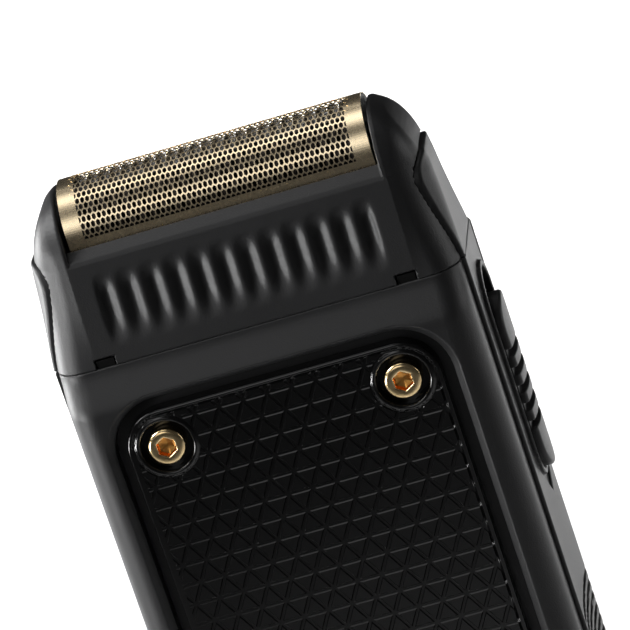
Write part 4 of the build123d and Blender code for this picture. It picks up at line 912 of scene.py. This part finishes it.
# ------------------------------------------------------------------ foil
def foil_tree():
    """A sheet of staggered holes with plain ends, bent over the foil's radius."""
    tree = Tree(
        "Foil Sheet", Pitch=0.772, Bar=0.18, Stretch=1.45, Wall=0.08, Radius=7.5, Axis=142.5, HalfLength=23.2,
        Plain=1.8, Skirt=7.7, Columns=55, Rows=27,
    )
    outer = tree.math("DIVIDE", tree["Pitch"], math.sqrt(3))
    row = tree.math("MULTIPLY", tree.math("MULTIPLY", outer, 1.5), tree["Stretch"])
    disc = tree.add("GeometryNodeMeshCircle", 6, outer, fill_type="NGON")
    inset = tree.add("GeometryNodeExtrudeMesh", disc, out=None, mode="FACES")
    inset.inputs["Offset Scale"].default_value = 0.0
    inner_share = tree.math("SUBTRACT", 1.0, tree.math("DIVIDE", tree["Bar"], tree["Pitch"]))
    shrunk = tree.add("GeometryNodeScaleElements", inset.outputs["Mesh"], inset.outputs["Top"], inner_share)
    ring = tree.add("GeometryNodeDeleteGeometry", shrunk, inset.outputs["Top"], domain="FACE")
    ring = tree.add("GeometryNodeTransform", ring, Rotation=(0, 0, math.radians(30)))
    ring = tree.add("GeometryNodeTransform", ring, Scale=tree.vector(1.0, tree["Stretch"], 1.0))
    width = tree.math("MULTIPLY", tree["Pitch"], tree.math("SUBTRACT", tree["Columns"], 1.0))
    height = tree.math("MULTIPLY", row, tree.math("SUBTRACT", tree["Rows"], 1.0))
    grid = tree.add("GeometryNodeMeshGrid", width, height, tree["Columns"], tree["Rows"])
    place = tree.add("ShaderNodeSeparateXYZ", tree.add("GeometryNodeInputPosition"), out=None)
    start = tree.math("ADD", place.outputs[1], tree.math("MULTIPLY", height, 0.5))
    line = tree.math("ROUND", tree.math("DIVIDE", start, row))
    odd = tree.math("SUBTRACT", tree.math("MODULO", line, 2.0), 0.5)
    stagger = tree.vector(tree.math("MULTIPLY", odd, tree.math("MULTIPLY", tree["Pitch"], 0.5)))
    grid = tree.add("GeometryNodeSetPosition", grid, Offset=stagger)
    sheet = tree.add("GeometryNodeInstanceOnPoints", grid, Instance=ring)
    sheet = tree.add("GeometryNodeRealizeInstances", sheet)
    sheet = tree.add("GeometryNodeMergeByDistance", sheet, Distance=0.01)
    parts = [thick_sheet(tree, sheet)]
    # Plain ends, and skirts below the holes.
    arc = tree.math("MULTIPLY", tree["Radius"], math.pi / 2)
    reach = tree.math("ADD", arc, tree["Skirt"])
    end_middle = tree.math("SUBTRACT", tree["HalfLength"], tree.math("MULTIPLY", tree["Plain"], 0.5))
    end_width = tree.math("ADD", tree["Plain"], tree["Pitch"])
    skirt_start = tree.math("MULTIPLY", height, 0.5)
    skirt_width = tree.math("SUBTRACT", reach, skirt_start)
    skirt_middle = tree.math("MULTIPLY", tree.math("ADD", reach, skirt_start), 0.5)
    for side in (1, -1):
        end = tree.add("GeometryNodeMeshGrid", end_width, tree.math("MULTIPLY", reach, 2.0), 3, 120)
        shift = tree.math("MULTIPLY", end_middle, float(side))
        inward = tree.math("MULTIPLY", tree["Pitch"], -0.5 * side)
        end_place = tree.vector(tree.math("ADD", shift, inward), 0.0, -0.02)
        end = tree.add("GeometryNodeTransform", end, Translation=end_place)
        parts.append(thick_sheet(tree, end))
        length_x = tree.math("SUBTRACT", tree.math("MULTIPLY", tree["HalfLength"], 2.0), 3.0)
        skirt = tree.add("GeometryNodeMeshGrid", length_x, skirt_width, 40, 14)
        skirt_place = tree.vector(0.0, tree.math("MULTIPLY", skirt_middle, float(side)), -0.03)
        skirt = tree.add("GeometryNodeTransform", skirt, Translation=skirt_place)
        parts.append(thick_sheet(tree, skirt))
    whole = tree.merge(*parts)
    # Bend: Y becomes the way round the axis, Z the distance from it, then all goes to metres.
    place = tree.add("ShaderNodeSeparateXYZ", tree.add("GeometryNodeInputPosition"), out=None)
    angle = tree.math("DIVIDE", place.outputs[1], tree["Radius"])
    bent = tree.math("MAXIMUM", tree.math("MINIMUM", angle, math.pi / 2), -math.pi / 2)
    past = tree.math("SUBTRACT", angle, bent)
    left_over = tree.math("ABSOLUTE", tree.math("MULTIPLY", past, tree["Radius"]))
    out = tree.math("ADD", tree["Radius"], place.outputs[2])
    new_y = tree.math("MULTIPLY", out, tree.math("SINE", bent))
    rise = tree.math("SUBTRACT", tree.math("MULTIPLY", out, tree.math("COSINE", bent)), left_over)
    new_z = tree.math("ADD", tree["Axis"], rise)
    bent_place = tree.vector(place.outputs[0], new_y, new_z)
    metres = tree.add("ShaderNodeVectorMath", bent_place, Scale=MM, operation="SCALE")
    whole = tree.add("GeometryNodeSetPosition", whole, Position=metres)
    return tree, tree.add("GeometryNodeSetShadeSmooth", whole, Shade_Smooth=False)


def thick_sheet(tree, sheet):
    """Give a flat sheet in the XY plane its wall, down from Z = 0."""
    drop = tree.vector(0.0, 0.0, tree.math("MULTIPLY", tree["Wall"], -1.0))
    below = tree.add("GeometryNodeSetPosition", sheet, Offset=drop)
    turned = tree.add("GeometryNodeFlipFaces", below)
    rise = tree.vector(0.0, 0.0, tree["Wall"])
    walls = tree.add("GeometryNodeExtrudeMesh", below, None, rise, 1.0, False, mode="FACES")
    return tree.add("GeometryNodeMergeByDistance", tree.merge(turned, walls), Distance=0.002)


class SHAVER_OT_foil(bpy.types.Operator):
    """Make the perforated foil"""

    bl_idname = "shaver.foil"
    bl_label = "Foil"

    def execute(self, context):
        sizes = context.scene.shaver_pattern
        half = float(FOIL_HIGH[0])
        tree, geometry = foil_tree()
        row = sizes.hole_pitch * math.sqrt(3) / 2 * sizes.hole_stretch
        obj = tree.make(
            "perforated_foil", geometry, finish("gold_foil"), Pitch=sizes.hole_pitch, Bar=sizes.bar,
            Stretch=sizes.hole_stretch, Wall=sizes.foil_wall, Radius=FOIL_RADIUS, Axis=FOIL_AXIS,
            HalfLength=half, Plain=sizes.plain_end, Skirt=FOIL_AXIS - float(FOIL_LOW[2]),
            Columns=round(2 * (half - sizes.plain_end) / sizes.hole_pitch),
            Rows=2 * round((FOIL_RADIUS * math.pi / 2 + 1.2) / row) - 1,
        )
        dress(obj, "gold_foil", "foil_cassette", "foil")
        return {"FINISHED"}


# ------------------------------------------------------------------ front plate
PLATE_CORNER = 6
SCREW_WELL = 3.88
WELL_RING = (4.28, 0.42)  # middle radius of the ring round a well, and its own radius
LATTICE_SPOT = (2.2, 94.07)  # a corner where six tiles meet


def plate_field(sizes):
    """The plate without its tiles: rounded edge, wells for the screws and a ring round each well."""
    seat, face = -float(PLATE_HIGH[1]), -float(PLATE_LOW[1])

    def field(x, y, z):
        depth = -y
        edge = rounded_rectangle(x, z - PLATE_MIDDLE, *PLATE_HALF, PLATE_CORNER)
        tray = np.maximum(edge + sizes.plate_border, face - sizes.tile_rise - depth)
        solid = meet(edge, depth - face, 0.35)
        solid = meet(solid, seat - depth, 0.1)
        solid = cut(solid, tray, 0.12)
        for centre_x, centre_z in SCREW_SPOTS:
            far = np.hypot(x - centre_x, z - centre_z)
            boss = np.maximum(far - 4.7, between(depth, seat - 1.2, face - 0.5))
            solid = join(solid, boss)
            solid = join(solid, np.hypot(far - WELL_RING[0], depth - face + 0.35) - WELL_RING[1], 0.1)
            solid = cut(solid, np.maximum(far - SCREW_WELL, face - 2.0 - depth), 0.1)
            solid = cut(solid, far - 1.6)
        return solid

    return field


def tile_tree():
    """Bevelled triangle tiles on a lattice, upright in the XZ plane, in metres."""
    tree = Tree("Plate Tiles", Side=3.675, Groove=0.26, Bevel=0.21, Rise=0.17, Columns=16, Rows=34,
                NodeX=2.2, NodeZ=94.07, Face=14.0)
    circum = tree.math("DIVIDE", tree["Side"], math.sqrt(3))
    foot = tree.math("SUBTRACT", circum, tree["Groove"])
    top = tree.math("SUBTRACT", foot, tree.math("MULTIPLY", tree["Bevel"], 2.0))
    row = tree.math("MULTIPLY", tree["Side"], math.sqrt(3) / 2)
    width = tree.math("MULTIPLY", tree["Side"], tree.math("SUBTRACT", tree["Columns"], 1.0))
    height = tree.math("MULTIPLY", row, tree.math("SUBTRACT", tree["Rows"], 1.0))
    depth = tree.math("ADD", tree["Rise"], 0.05)
    tile = tree.add("GeometryNodeMeshCone", 3, 1, 1, top, foot, depth, fill_type="NGON")
    tiles = []
    for turn, aside, above in ((90, 0.5, 1 / 3), (-90, 0.0, 2 / 3)):
        turned = tree.add("GeometryNodeTransform", tile, Rotation=(0, 0, math.radians(turn)))
        grid = tree.add("GeometryNodeMeshGrid", width, height, tree["Columns"], tree["Rows"])
        place = tree.add("ShaderNodeSeparateXYZ", tree.add("GeometryNodeInputPosition"), out=None)
        start = tree.math("ADD", place.outputs[1], tree.math("MULTIPLY", height, 0.5))
        line = tree.math("MODULO", tree.math("ROUND", tree.math("DIVIDE", start, row)), 2.0)
        aside_by = tree.math("MULTIPLY", tree["Side"], tree.math("MULTIPLY_ADD", line, 0.5, aside))
        offset = tree.vector(aside_by, tree.math("MULTIPLY", row, above))
        grid = tree.add("GeometryNodeSetPosition", grid, Offset=offset)
        tiles.append(tree.add("GeometryNodeInstanceOnPoints", grid, Instance=turned))
    whole = tree.add("GeometryNodeRealizeInstances", tree.merge(*tiles))
    whole = tree.add("GeometryNodeTransform", whole, Translation=tree.vector(tree["NodeX"], tree["NodeZ"]))
    place = tree.add("ShaderNodeSeparateXYZ", tree.add("GeometryNodeInputPosition"), out=None)
    base = tree.math("SUBTRACT", tree["Face"], depth)
    forward = tree.math("MULTIPLY", tree.math("ADD", place.outputs[2], base), -1.0)
    upright = tree.vector(place.outputs[0], forward, place.outputs[1])
    metres = tree.add("ShaderNodeVectorMath", upright, Scale=MM, operation="SCALE")
    return tree, tree.add("GeometryNodeSetPosition", whole, Position=metres)


def upright_prism(name, shapes, front, back):
    """Closed prisms along Y from outlines in X and Z, in millimetres."""
    points, faces = [], []
    for shape in shapes:
        start, n = len(points), len(shape)
        points += [(x, front, z) for x, z in shape] + [(x, back, z) for x, z in shape]
        faces.append(list(range(start, start + n)))
        faces.append(list(range(start + 2 * n - 1, start + n - 1, -1)))
        for i in range(n):
            j = (i + 1) % n
            faces.append([start + j, start + i, start + n + i, start + n + j])
    mesh = bpy.data.meshes.new(name)
    mesh.from_pydata((np.array(points) * MM).tolist(), [], faces)
    mesh.update()
    return new_object(name, mesh)


def circle_points(centre_x, centre_z, radius, count):
    """Points round a circle, anticlockwise seen from the front."""
    turns = [2 * math.pi * i / count for i in range(count)]
    return [(centre_x + radius * math.cos(t), centre_z + radius * math.sin(t)) for t in turns]


class SHAVER_OT_plate(bpy.types.Operator):
    """Make the front plate and its triangle tiles"""

    bl_idname = "shaver.plate"
    bl_label = "Front plate"

    def execute(self, context):
        sizes = context.scene.shaver_pattern
        obj = moulded("front_plate_body", plate_field(sizes), PLATE_LOW - 0.3, PLATE_HIGH + 1.5, 0.3, 90000)
        dress(obj, "gloss_plate", "body", "front_plate")
        face = -float(PLATE_LOW[1])
        row = sizes.tile_side * math.sqrt(3) / 2
        tree, geometry = tile_tree()
        columns = 2 * math.ceil(PLATE_HALF[0] / sizes.tile_side) + 3
        rows = 2 * math.ceil(PLATE_HALF[1] / row) + 4
        steps = round((PLATE_MIDDLE - LATTICE_SPOT[1]) / row)
        middle = LATTICE_SPOT[1] + row * steps
        middle_x = LATTICE_SPOT[0] - (sizes.tile_side / 2 if steps % 2 else 0)
        obj = tree.make(
            "plate_tiles", geometry, finish("gloss_plate"), Side=sizes.tile_side, Groove=sizes.tile_groove,
            Bevel=sizes.tile_bevel, Rise=sizes.tile_rise, Columns=columns, Rows=rows, NodeX=middle_x,
            NodeZ=middle, Face=face,
        )
        radius = PLATE_CORNER - sizes.plate_border - 0.3
        frame_shape = []
        for side_x, side_z, first in ((1, 1, 0), (-1, 1, 90), (-1, -1, 180), (1, -1, 270)):
            bend_x = side_x * (PLATE_HALF[0] - PLATE_CORNER)
            bend_z = PLATE_MIDDLE + side_z * (PLATE_HALF[1] - PLATE_CORNER)
            turns = [math.radians(first + 7.5 * i) for i in range(13)]
            frame_shape += [
                (bend_x + radius * math.cos(t), bend_z + radius * math.sin(t)) for t in turns
            ]
        keeper = upright_prism("keeper", [frame_shape], -face - 1, -face + 2)
        rounds = [circle_points(*spot, 5.0, 48) for spot in SCREW_SPOTS]
        wells = upright_prism("wells", rounds, -face - 2, -face + 3)
        for operation, tool in (("INTERSECT", keeper), ("DIFFERENCE", wells)):
            trim = obj.modifiers.new("trim", "BOOLEAN")
            trim.operation = operation
            trim.object = tool
            trim.solver = "EXACT"
        flatten(obj)
        for tool in (keeper, wells):
            bpy.data.objects.remove(tool)
        obj.data.materials.clear()
        dress(obj, "gloss_plate", "body")
        return {"FINISHED"}


# ------------------------------------------------------------------ screws
def plate_screw_mesh():
    """One hex socket screw along -Y at the origin, its head's top at Y = 0, in millimetres."""
    count = 48
    radius, across, height = SCREW_RADIUS, 1.3, 2.4
    # Each ring: how far below the top, radius, and how hexagonal it is.
    rings = [
        (11.0, 0.9, 0), (10.6, 1.45, 0), (height, 1.45, 0), (height, radius - 0.05, 0),
        (height - 0.1, radius, 0),
        (0.42, radius, 0), (0.2, radius - 0.1, 0), (0.04, radius - 0.42, 0), (0.0, radius - 0.62, 0),
        (0.0, across * 1.3, 0.3), (0.03, across * 1.17, 1), (0.1, across * 1.1, 1), (0.2, across * 1.07, 1),
        (1.1, across * 1.02, 1), (1.3, across * 0.7, 1), (1.45, across * 0.25, 0.5),
    ]
    points, faces, socket_shade = [], [], []
    for below, size, hexness in rings:
        for i in range(count):
            turn = 2 * math.pi * i / count
            hexagon = math.cos(math.pi / 6) / math.cos((turn + math.pi / 6) % (math.pi / 3) - math.pi / 6)
            reach = size * (1 - hexness + hexness * hexagon * 1.08)
            points.append((reach * math.cos(turn), below, reach * math.sin(turn)))
    # Socket faces deeper than 0.1 mm, and the socket's floor, get the darker gold as painted shade in the
    # recess.
    for level in range(len(rings) - 1):
        for i in range(count):
            j = (i + 1) % count
            low = level * count
            faces.append([low + i, low + j, low + count + j, low + count + i])
            socket_shade.append(1 if level >= 11 else 0)
    for below, start in ((11.2, 0), (1.5, (len(rings) - 1) * count)):
        points.append((0, below, 0))
        for i in range(count):
            j = (i + 1) % count
            ring = [start + j, start + i, len(points) - 1]
            faces.append(ring if start == 0 else ring[::-1])
            socket_shade.append(1 if start else 0)
    mesh = bpy.data.meshes.new("plate_screw")
    mesh.from_pydata(points, [], faces)
    mesh.materials.append(finish("gold_metal"))
    mesh.materials.append(finish("socket_painted_shade"))
    mesh.polygons.foreach_set("material_index", socket_shade)
    mesh.update()
    return mesh


class SHAVER_OT_screws(bpy.types.Operator):
    """Make the four screws of the front plate"""

    bl_idname = "shaver.screws"
    bl_label = "Plate screws"

    def execute(self, context):
        high, low = SCREW_SPOTS[1], SCREW_SPOTS[2]
        screw = new_object("plate_screw", plate_screw_mesh())
        tree = Tree("Plate Screws", Width=36.0, Height=90.0)
        shape = tree.add("GeometryNodeObjectInfo", screw, out="Geometry")
        grid = tree.add("GeometryNodeMeshGrid", tree["Width"], tree["Height"], 2, 2)
        grid = tree.add("GeometryNodeTransform", grid, Rotation=(math.pi / 2, 0, 0))
        spots = tree.add("GeometryNodeInstanceOnPoints", grid, Instance=shape)
        obj = tree.make(
            "gold_plate_screws", spots, finish("gold_metal"), finish("socket_painted_shade"), Width=high[0] - low[0],
            Height=high[1] - low[1],
        )
        bpy.data.objects.remove(screw)
        place = Matrix.Translation((0, float(SCREW_LOW[1]), (high[1] + low[1]) / 2))
        obj.data.transform(Matrix.Scale(MM, 4) @ place)
        obj.data.shade_smooth()
        edge = obj.modifiers.new("edges", "EDGE_SPLIT")
        edge.split_angle = math.radians(40)
        flatten(obj)
        dress(obj, "gold_metal", "body", "plate_screws")
        return {"FINISHED"}


# ------------------------------------------------------------------ springs
def spring_tree():
    """A coil of round wire, placed at each point of a grid, along Z, in millimetres."""
    tree = Tree("Coil Springs", Radius=2.2, Wire=0.18, Height=4.0, Turns=5.0, Bottom=0.0, SpreadX=10.0,
                SpreadY=0.0, CountX=2, CountY=1)
    radius = tree["Radius"]
    spiral = tree.add("GeometryNodeCurveSpiral", 20, tree["Turns"], radius, radius, tree["Height"])
    wire = tree.add("GeometryNodeCurvePrimitiveCircle", 8, Radius=tree["Wire"])
    coil = tree.add("GeometryNodeCurveToMesh", spiral, wire, Fill_Caps=True)
    grid = tree.add("GeometryNodeMeshGrid", tree["SpreadX"], tree["SpreadY"], tree["CountX"], tree["CountY"])
    spots = tree.add("GeometryNodeInstanceOnPoints", grid, Instance=coil)
    whole = tree.add("GeometryNodeTransform", spots, Translation=tree.vector(0.0, 0.0, tree["Bottom"]))
    return tree, whole


def coils(name, body, node, radius, wire, turns, spread, count, sideways=False):
    """Coil springs that stand for a CAD node, upright or along X."""
    low, high = node_box(node)
    tall = float(high[0] - HEAD_ROOM[0]) if sideways else float(high[2] - low[2])
    tree, geometry = spring_tree()
    obj = tree.make(
        name, geometry, finish("spring_steel"), Radius=radius - wire, Wire=wire, Height=tall - 2 * wire,
        Turns=float(turns), Bottom=0.0 if sideways else float(low[2]) + wire, SpreadX=spread[0],
        SpreadY=spread[1], CountX=count[0], CountY=count[1],
    )
    if sideways:
        first = obj.data.copy()
        for mesh, side in ((first, 1), (obj.data, -1)):
            place = Matrix.Translation((side * (HEAD_ROOM[0] + wire), 0, SEAM + STEM_LEVEL))
            mesh.transform(place @ Matrix.Rotation(side * math.pi / 2, 4, "Y"))
        other = new_object("other_side", first)
        with bpy.context.temp_override(active_object=obj, selected_editable_objects=[obj, other]):
            bpy.ops.object.join()
    obj.data.transform(Matrix.Scale(MM, 4))
    obj.data.shade_smooth()
    return dress(obj, "spring_steel", body, node)


class SHAVER_OT_springs(bpy.types.Operator):
    """Make the coil springs of the cutter, the foil and the release buttons"""

    bl_idname = "shaver.springs"
    bl_label = "Springs"

    def execute(self, context):
        cutter = coils("cutter_coils", "bridge", "cutter_springs", 2.4, 0.2, 4, (18.0, 0.0), (2, 1))
        foil = coils("foil_coils", "head", "foil_springs", 1.5, 0.16, 4, (48.2, 11.2), (2, 2))
        for obj, part in ((cutter, "cutter"), (foil, "foil")):
            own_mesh(obj)
        coils("button_coils", "head", "button_springs", 2.9, 0.15, 2, (0.0, 0.0), (1, 1), sideways=True)
        return {"FINISHED"}


# ------------------------------------------------------------------ finishes of the CAD nodes
NODE_FINISHES = {
    "black_plastic": ("base_cap",),
    # The deck plate gets the near-black finish as painted shade in the key notches.
    "shadow_plastic": ("deck_plate",),
    "frame_plastic": (
        "foil_frame", "foil_retainer", "cutter_carrier", "drive_bridge", "battery_cradle", "motor_end_cap",
        "switch_body", "switch_knob",
    ),
    "steel": ("motor_can", "motor_shaft", "guide_rails", "motor_bracket"),
    "blade_steel": ("cutter_blades",),
    "zinc_screw": ("case_screws", "deck_screws", "base_screws", "motor_screws"),
    "spring_steel": ("retaining_clips",),
    "brass": ("eccentric_cam",),
    "rotor_iron": ("motor_rotor",),
    "cell_wrap": ("battery_cell",),
    "nickel": ("battery_tabs", "charge_socket"),
    "board_green": ("main_board",),
    "clear_window": ("charge_window",),
}


class SHAVER_OT_inner_parts(bpy.types.Operator):
    """Finish the CAD nodes that keep their own shape"""

    bl_idname = "shaver.inner_parts"
    bl_label = "Inner parts"

    def execute(self, context):
        for slot, names in NODE_FINISHES.items():
            for name in names:
                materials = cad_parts[name].data.materials
                materials.clear()
                materials.append(finish(slot))
        return {"FINISHED"}


# ------------------------------------------------------------------ stage
def soft_light(name, place, aim, size, power, tall=None, spread=180):
    """A soft area light that looks at a point, sizes in millimetres."""
    data = bpy.data.lights.new(name, "AREA")
    data.shape = "RECTANGLE"
    data.size = size * MM
    data.size_y = (tall or size) * MM
    data.energy = power
    data.spread = math.radians(spread)
    lamp = bpy.data.objects.new(name, data)
    bpy.context.scene.collection.objects.link(lamp)
    lamp.location = Vector(place) * MM
    lamp.rotation_euler = (Vector(aim) - Vector(place)).to_track_quat("-Z", "Y").to_euler()
    return lamp


class SHAVER_OT_stage(bpy.types.Operator):
    """Make the floor, the soft lights and the camera"""

    bl_idname = "shaver.stage"
    bl_label = "Stage"

    def execute(self, context):
        scene = context.scene
        scene.view_settings.view_transform = "Standard"
        mesh = bpy.data.meshes.new("floor")
        reach = 6.0
        corners = [(-reach, -reach, 0), (reach, -reach, 0), (reach, reach, 0), (-reach, reach, 0)]
        mesh.from_pydata(corners, [], [(0, 1, 2, 3)])
        floor = new_object("floor", mesh)
        floor.location = (0, 0, -0.0001)
        mesh.materials.append(
            finish_material("pale_floor", [0.86] * 3, [0.9] * 3, 0.8, 0.1, scales=(3, 60), depth=0.0)
        )
        world = bpy.data.worlds.new("studio")
        scene.world = world
        world.use_nodes = True
        background = world.node_tree.nodes["Background"]
        background.inputs["Color"].default_value = (1, 1, 1, 1)
        background.inputs["Strength"].default_value = 0.03
        soft_light("back_sweep", (0, 560, 520), (0, 560, 0), 2000, 10.5, 760, spread=62)
        soft_light("front_panel", (-160, -560, 420), (0, 0, 140), 420, 0.05, spread=40)
        soft_light("top_panel", (-60, -40, 640), (0, 0, 140), 420, 0.04, 260, spread=45)
        soft_light("left_panel", (-500, 200, 140), (0, 0, 110), 260, 0.62, 420, spread=50)
        soft_light("ridge_panel", (-470, -200, 50), (0, 0, 130), 130, 0.24, 240, spread=48)
        soft_light("high_panel", (-360, -60, 480), (0, 0, 120), 260, 0.26, 260, spread=45)
        soft_light("right_panel", (560, 20, 190), (0, 0, 110), 260, 0.06, 300, spread=45)
        self.camera(scene)
        return {"FINISHED"}

    def camera(self, scene):
        """A long lens in front, above and to the right, turned so the shaver leans."""
        around, above, roll = math.radians(9.55), math.radians(17.97), math.radians(18.77)
        level = math.cos(above)
        ahead = Vector((-math.sin(around) * level, math.cos(around) * level, -math.sin(above)))
        right = Vector((math.cos(around), math.sin(around), 0))
        up = right.cross(ahead)
        turned_right = right * math.cos(roll) - up * math.sin(roll)
        turned_up = right * math.sin(roll) + up * math.cos(roll)
        aim = Vector((8.89, -14.0, 124.19)) * MM
        data = bpy.data.cameras.new("camera")
        data.lens = 285.7
        data.sensor_width = 36
        data.clip_end = 50
        camera = bpy.data.objects.new("camera", data)
        scene.collection.objects.link(camera)
        columns = Matrix((turned_right, turned_up, -ahead)).transposed()
        camera.matrix_world = Matrix.Translation(aim - ahead * 0.7178) @ columns.to_4x4()
        scene.camera = camera


OPERATORS = (
    SHAVER_OT_stage,
    SHAVER_OT_head,
    SHAVER_OT_buttons,
    SHAVER_OT_shells,
    SHAVER_OT_slider,
    SHAVER_OT_foil,
    SHAVER_OT_plate,
    SHAVER_OT_screws,
    SHAVER_OT_springs,
    SHAVER_OT_inner_parts,
)


class SHAVER_PT_panel(bpy.types.Panel):
    """Sizes, colours and operators of the shaver"""

    bl_idname = "SHAVER_PT_panel"
    bl_label = "Foil Shaver"
    bl_space_type = "VIEW_3D"
    bl_region_type = "UI"
    bl_category = "Shaver"

    def draw(self, context):
        for operator in OPERATORS:
            self.layout.operator(operator.bl_idname)
        for name, group in GROUP_CLASSES.items():
            box = self.layout.box()
            box.label(text=group.__doc__)
            for label in group.__annotations__:
                box.prop(getattr(context.scene, name), label)


def register():
    """Register the classes and hang the size groups on the scene."""
    for name, group in GROUP_CLASSES.items():
        bpy.utils.register_class(group)
        setattr(bpy.types.Scene, name, bpy.props.PointerProperty(type=group))
    for entry in (*OPERATORS, SHAVER_PT_panel):
        bpy.utils.register_class(entry)


def unregister():
    """Undo what register does."""
    for entry in (SHAVER_PT_panel, *reversed(OPERATORS)):
        bpy.utils.unregister_class(entry)
    for name, group in reversed(GROUP_CLASSES.items()):
        delattr(bpy.types.Scene, name)
        bpy.utils.unregister_class(group)


def main():
    """Register the classes and build everything."""
    register()
    for operator in OPERATORS:
        family, verb = operator.bl_idname.split(".")
        getattr(getattr(bpy.ops, family), verb)()


if __name__ == "__main__":
    main()
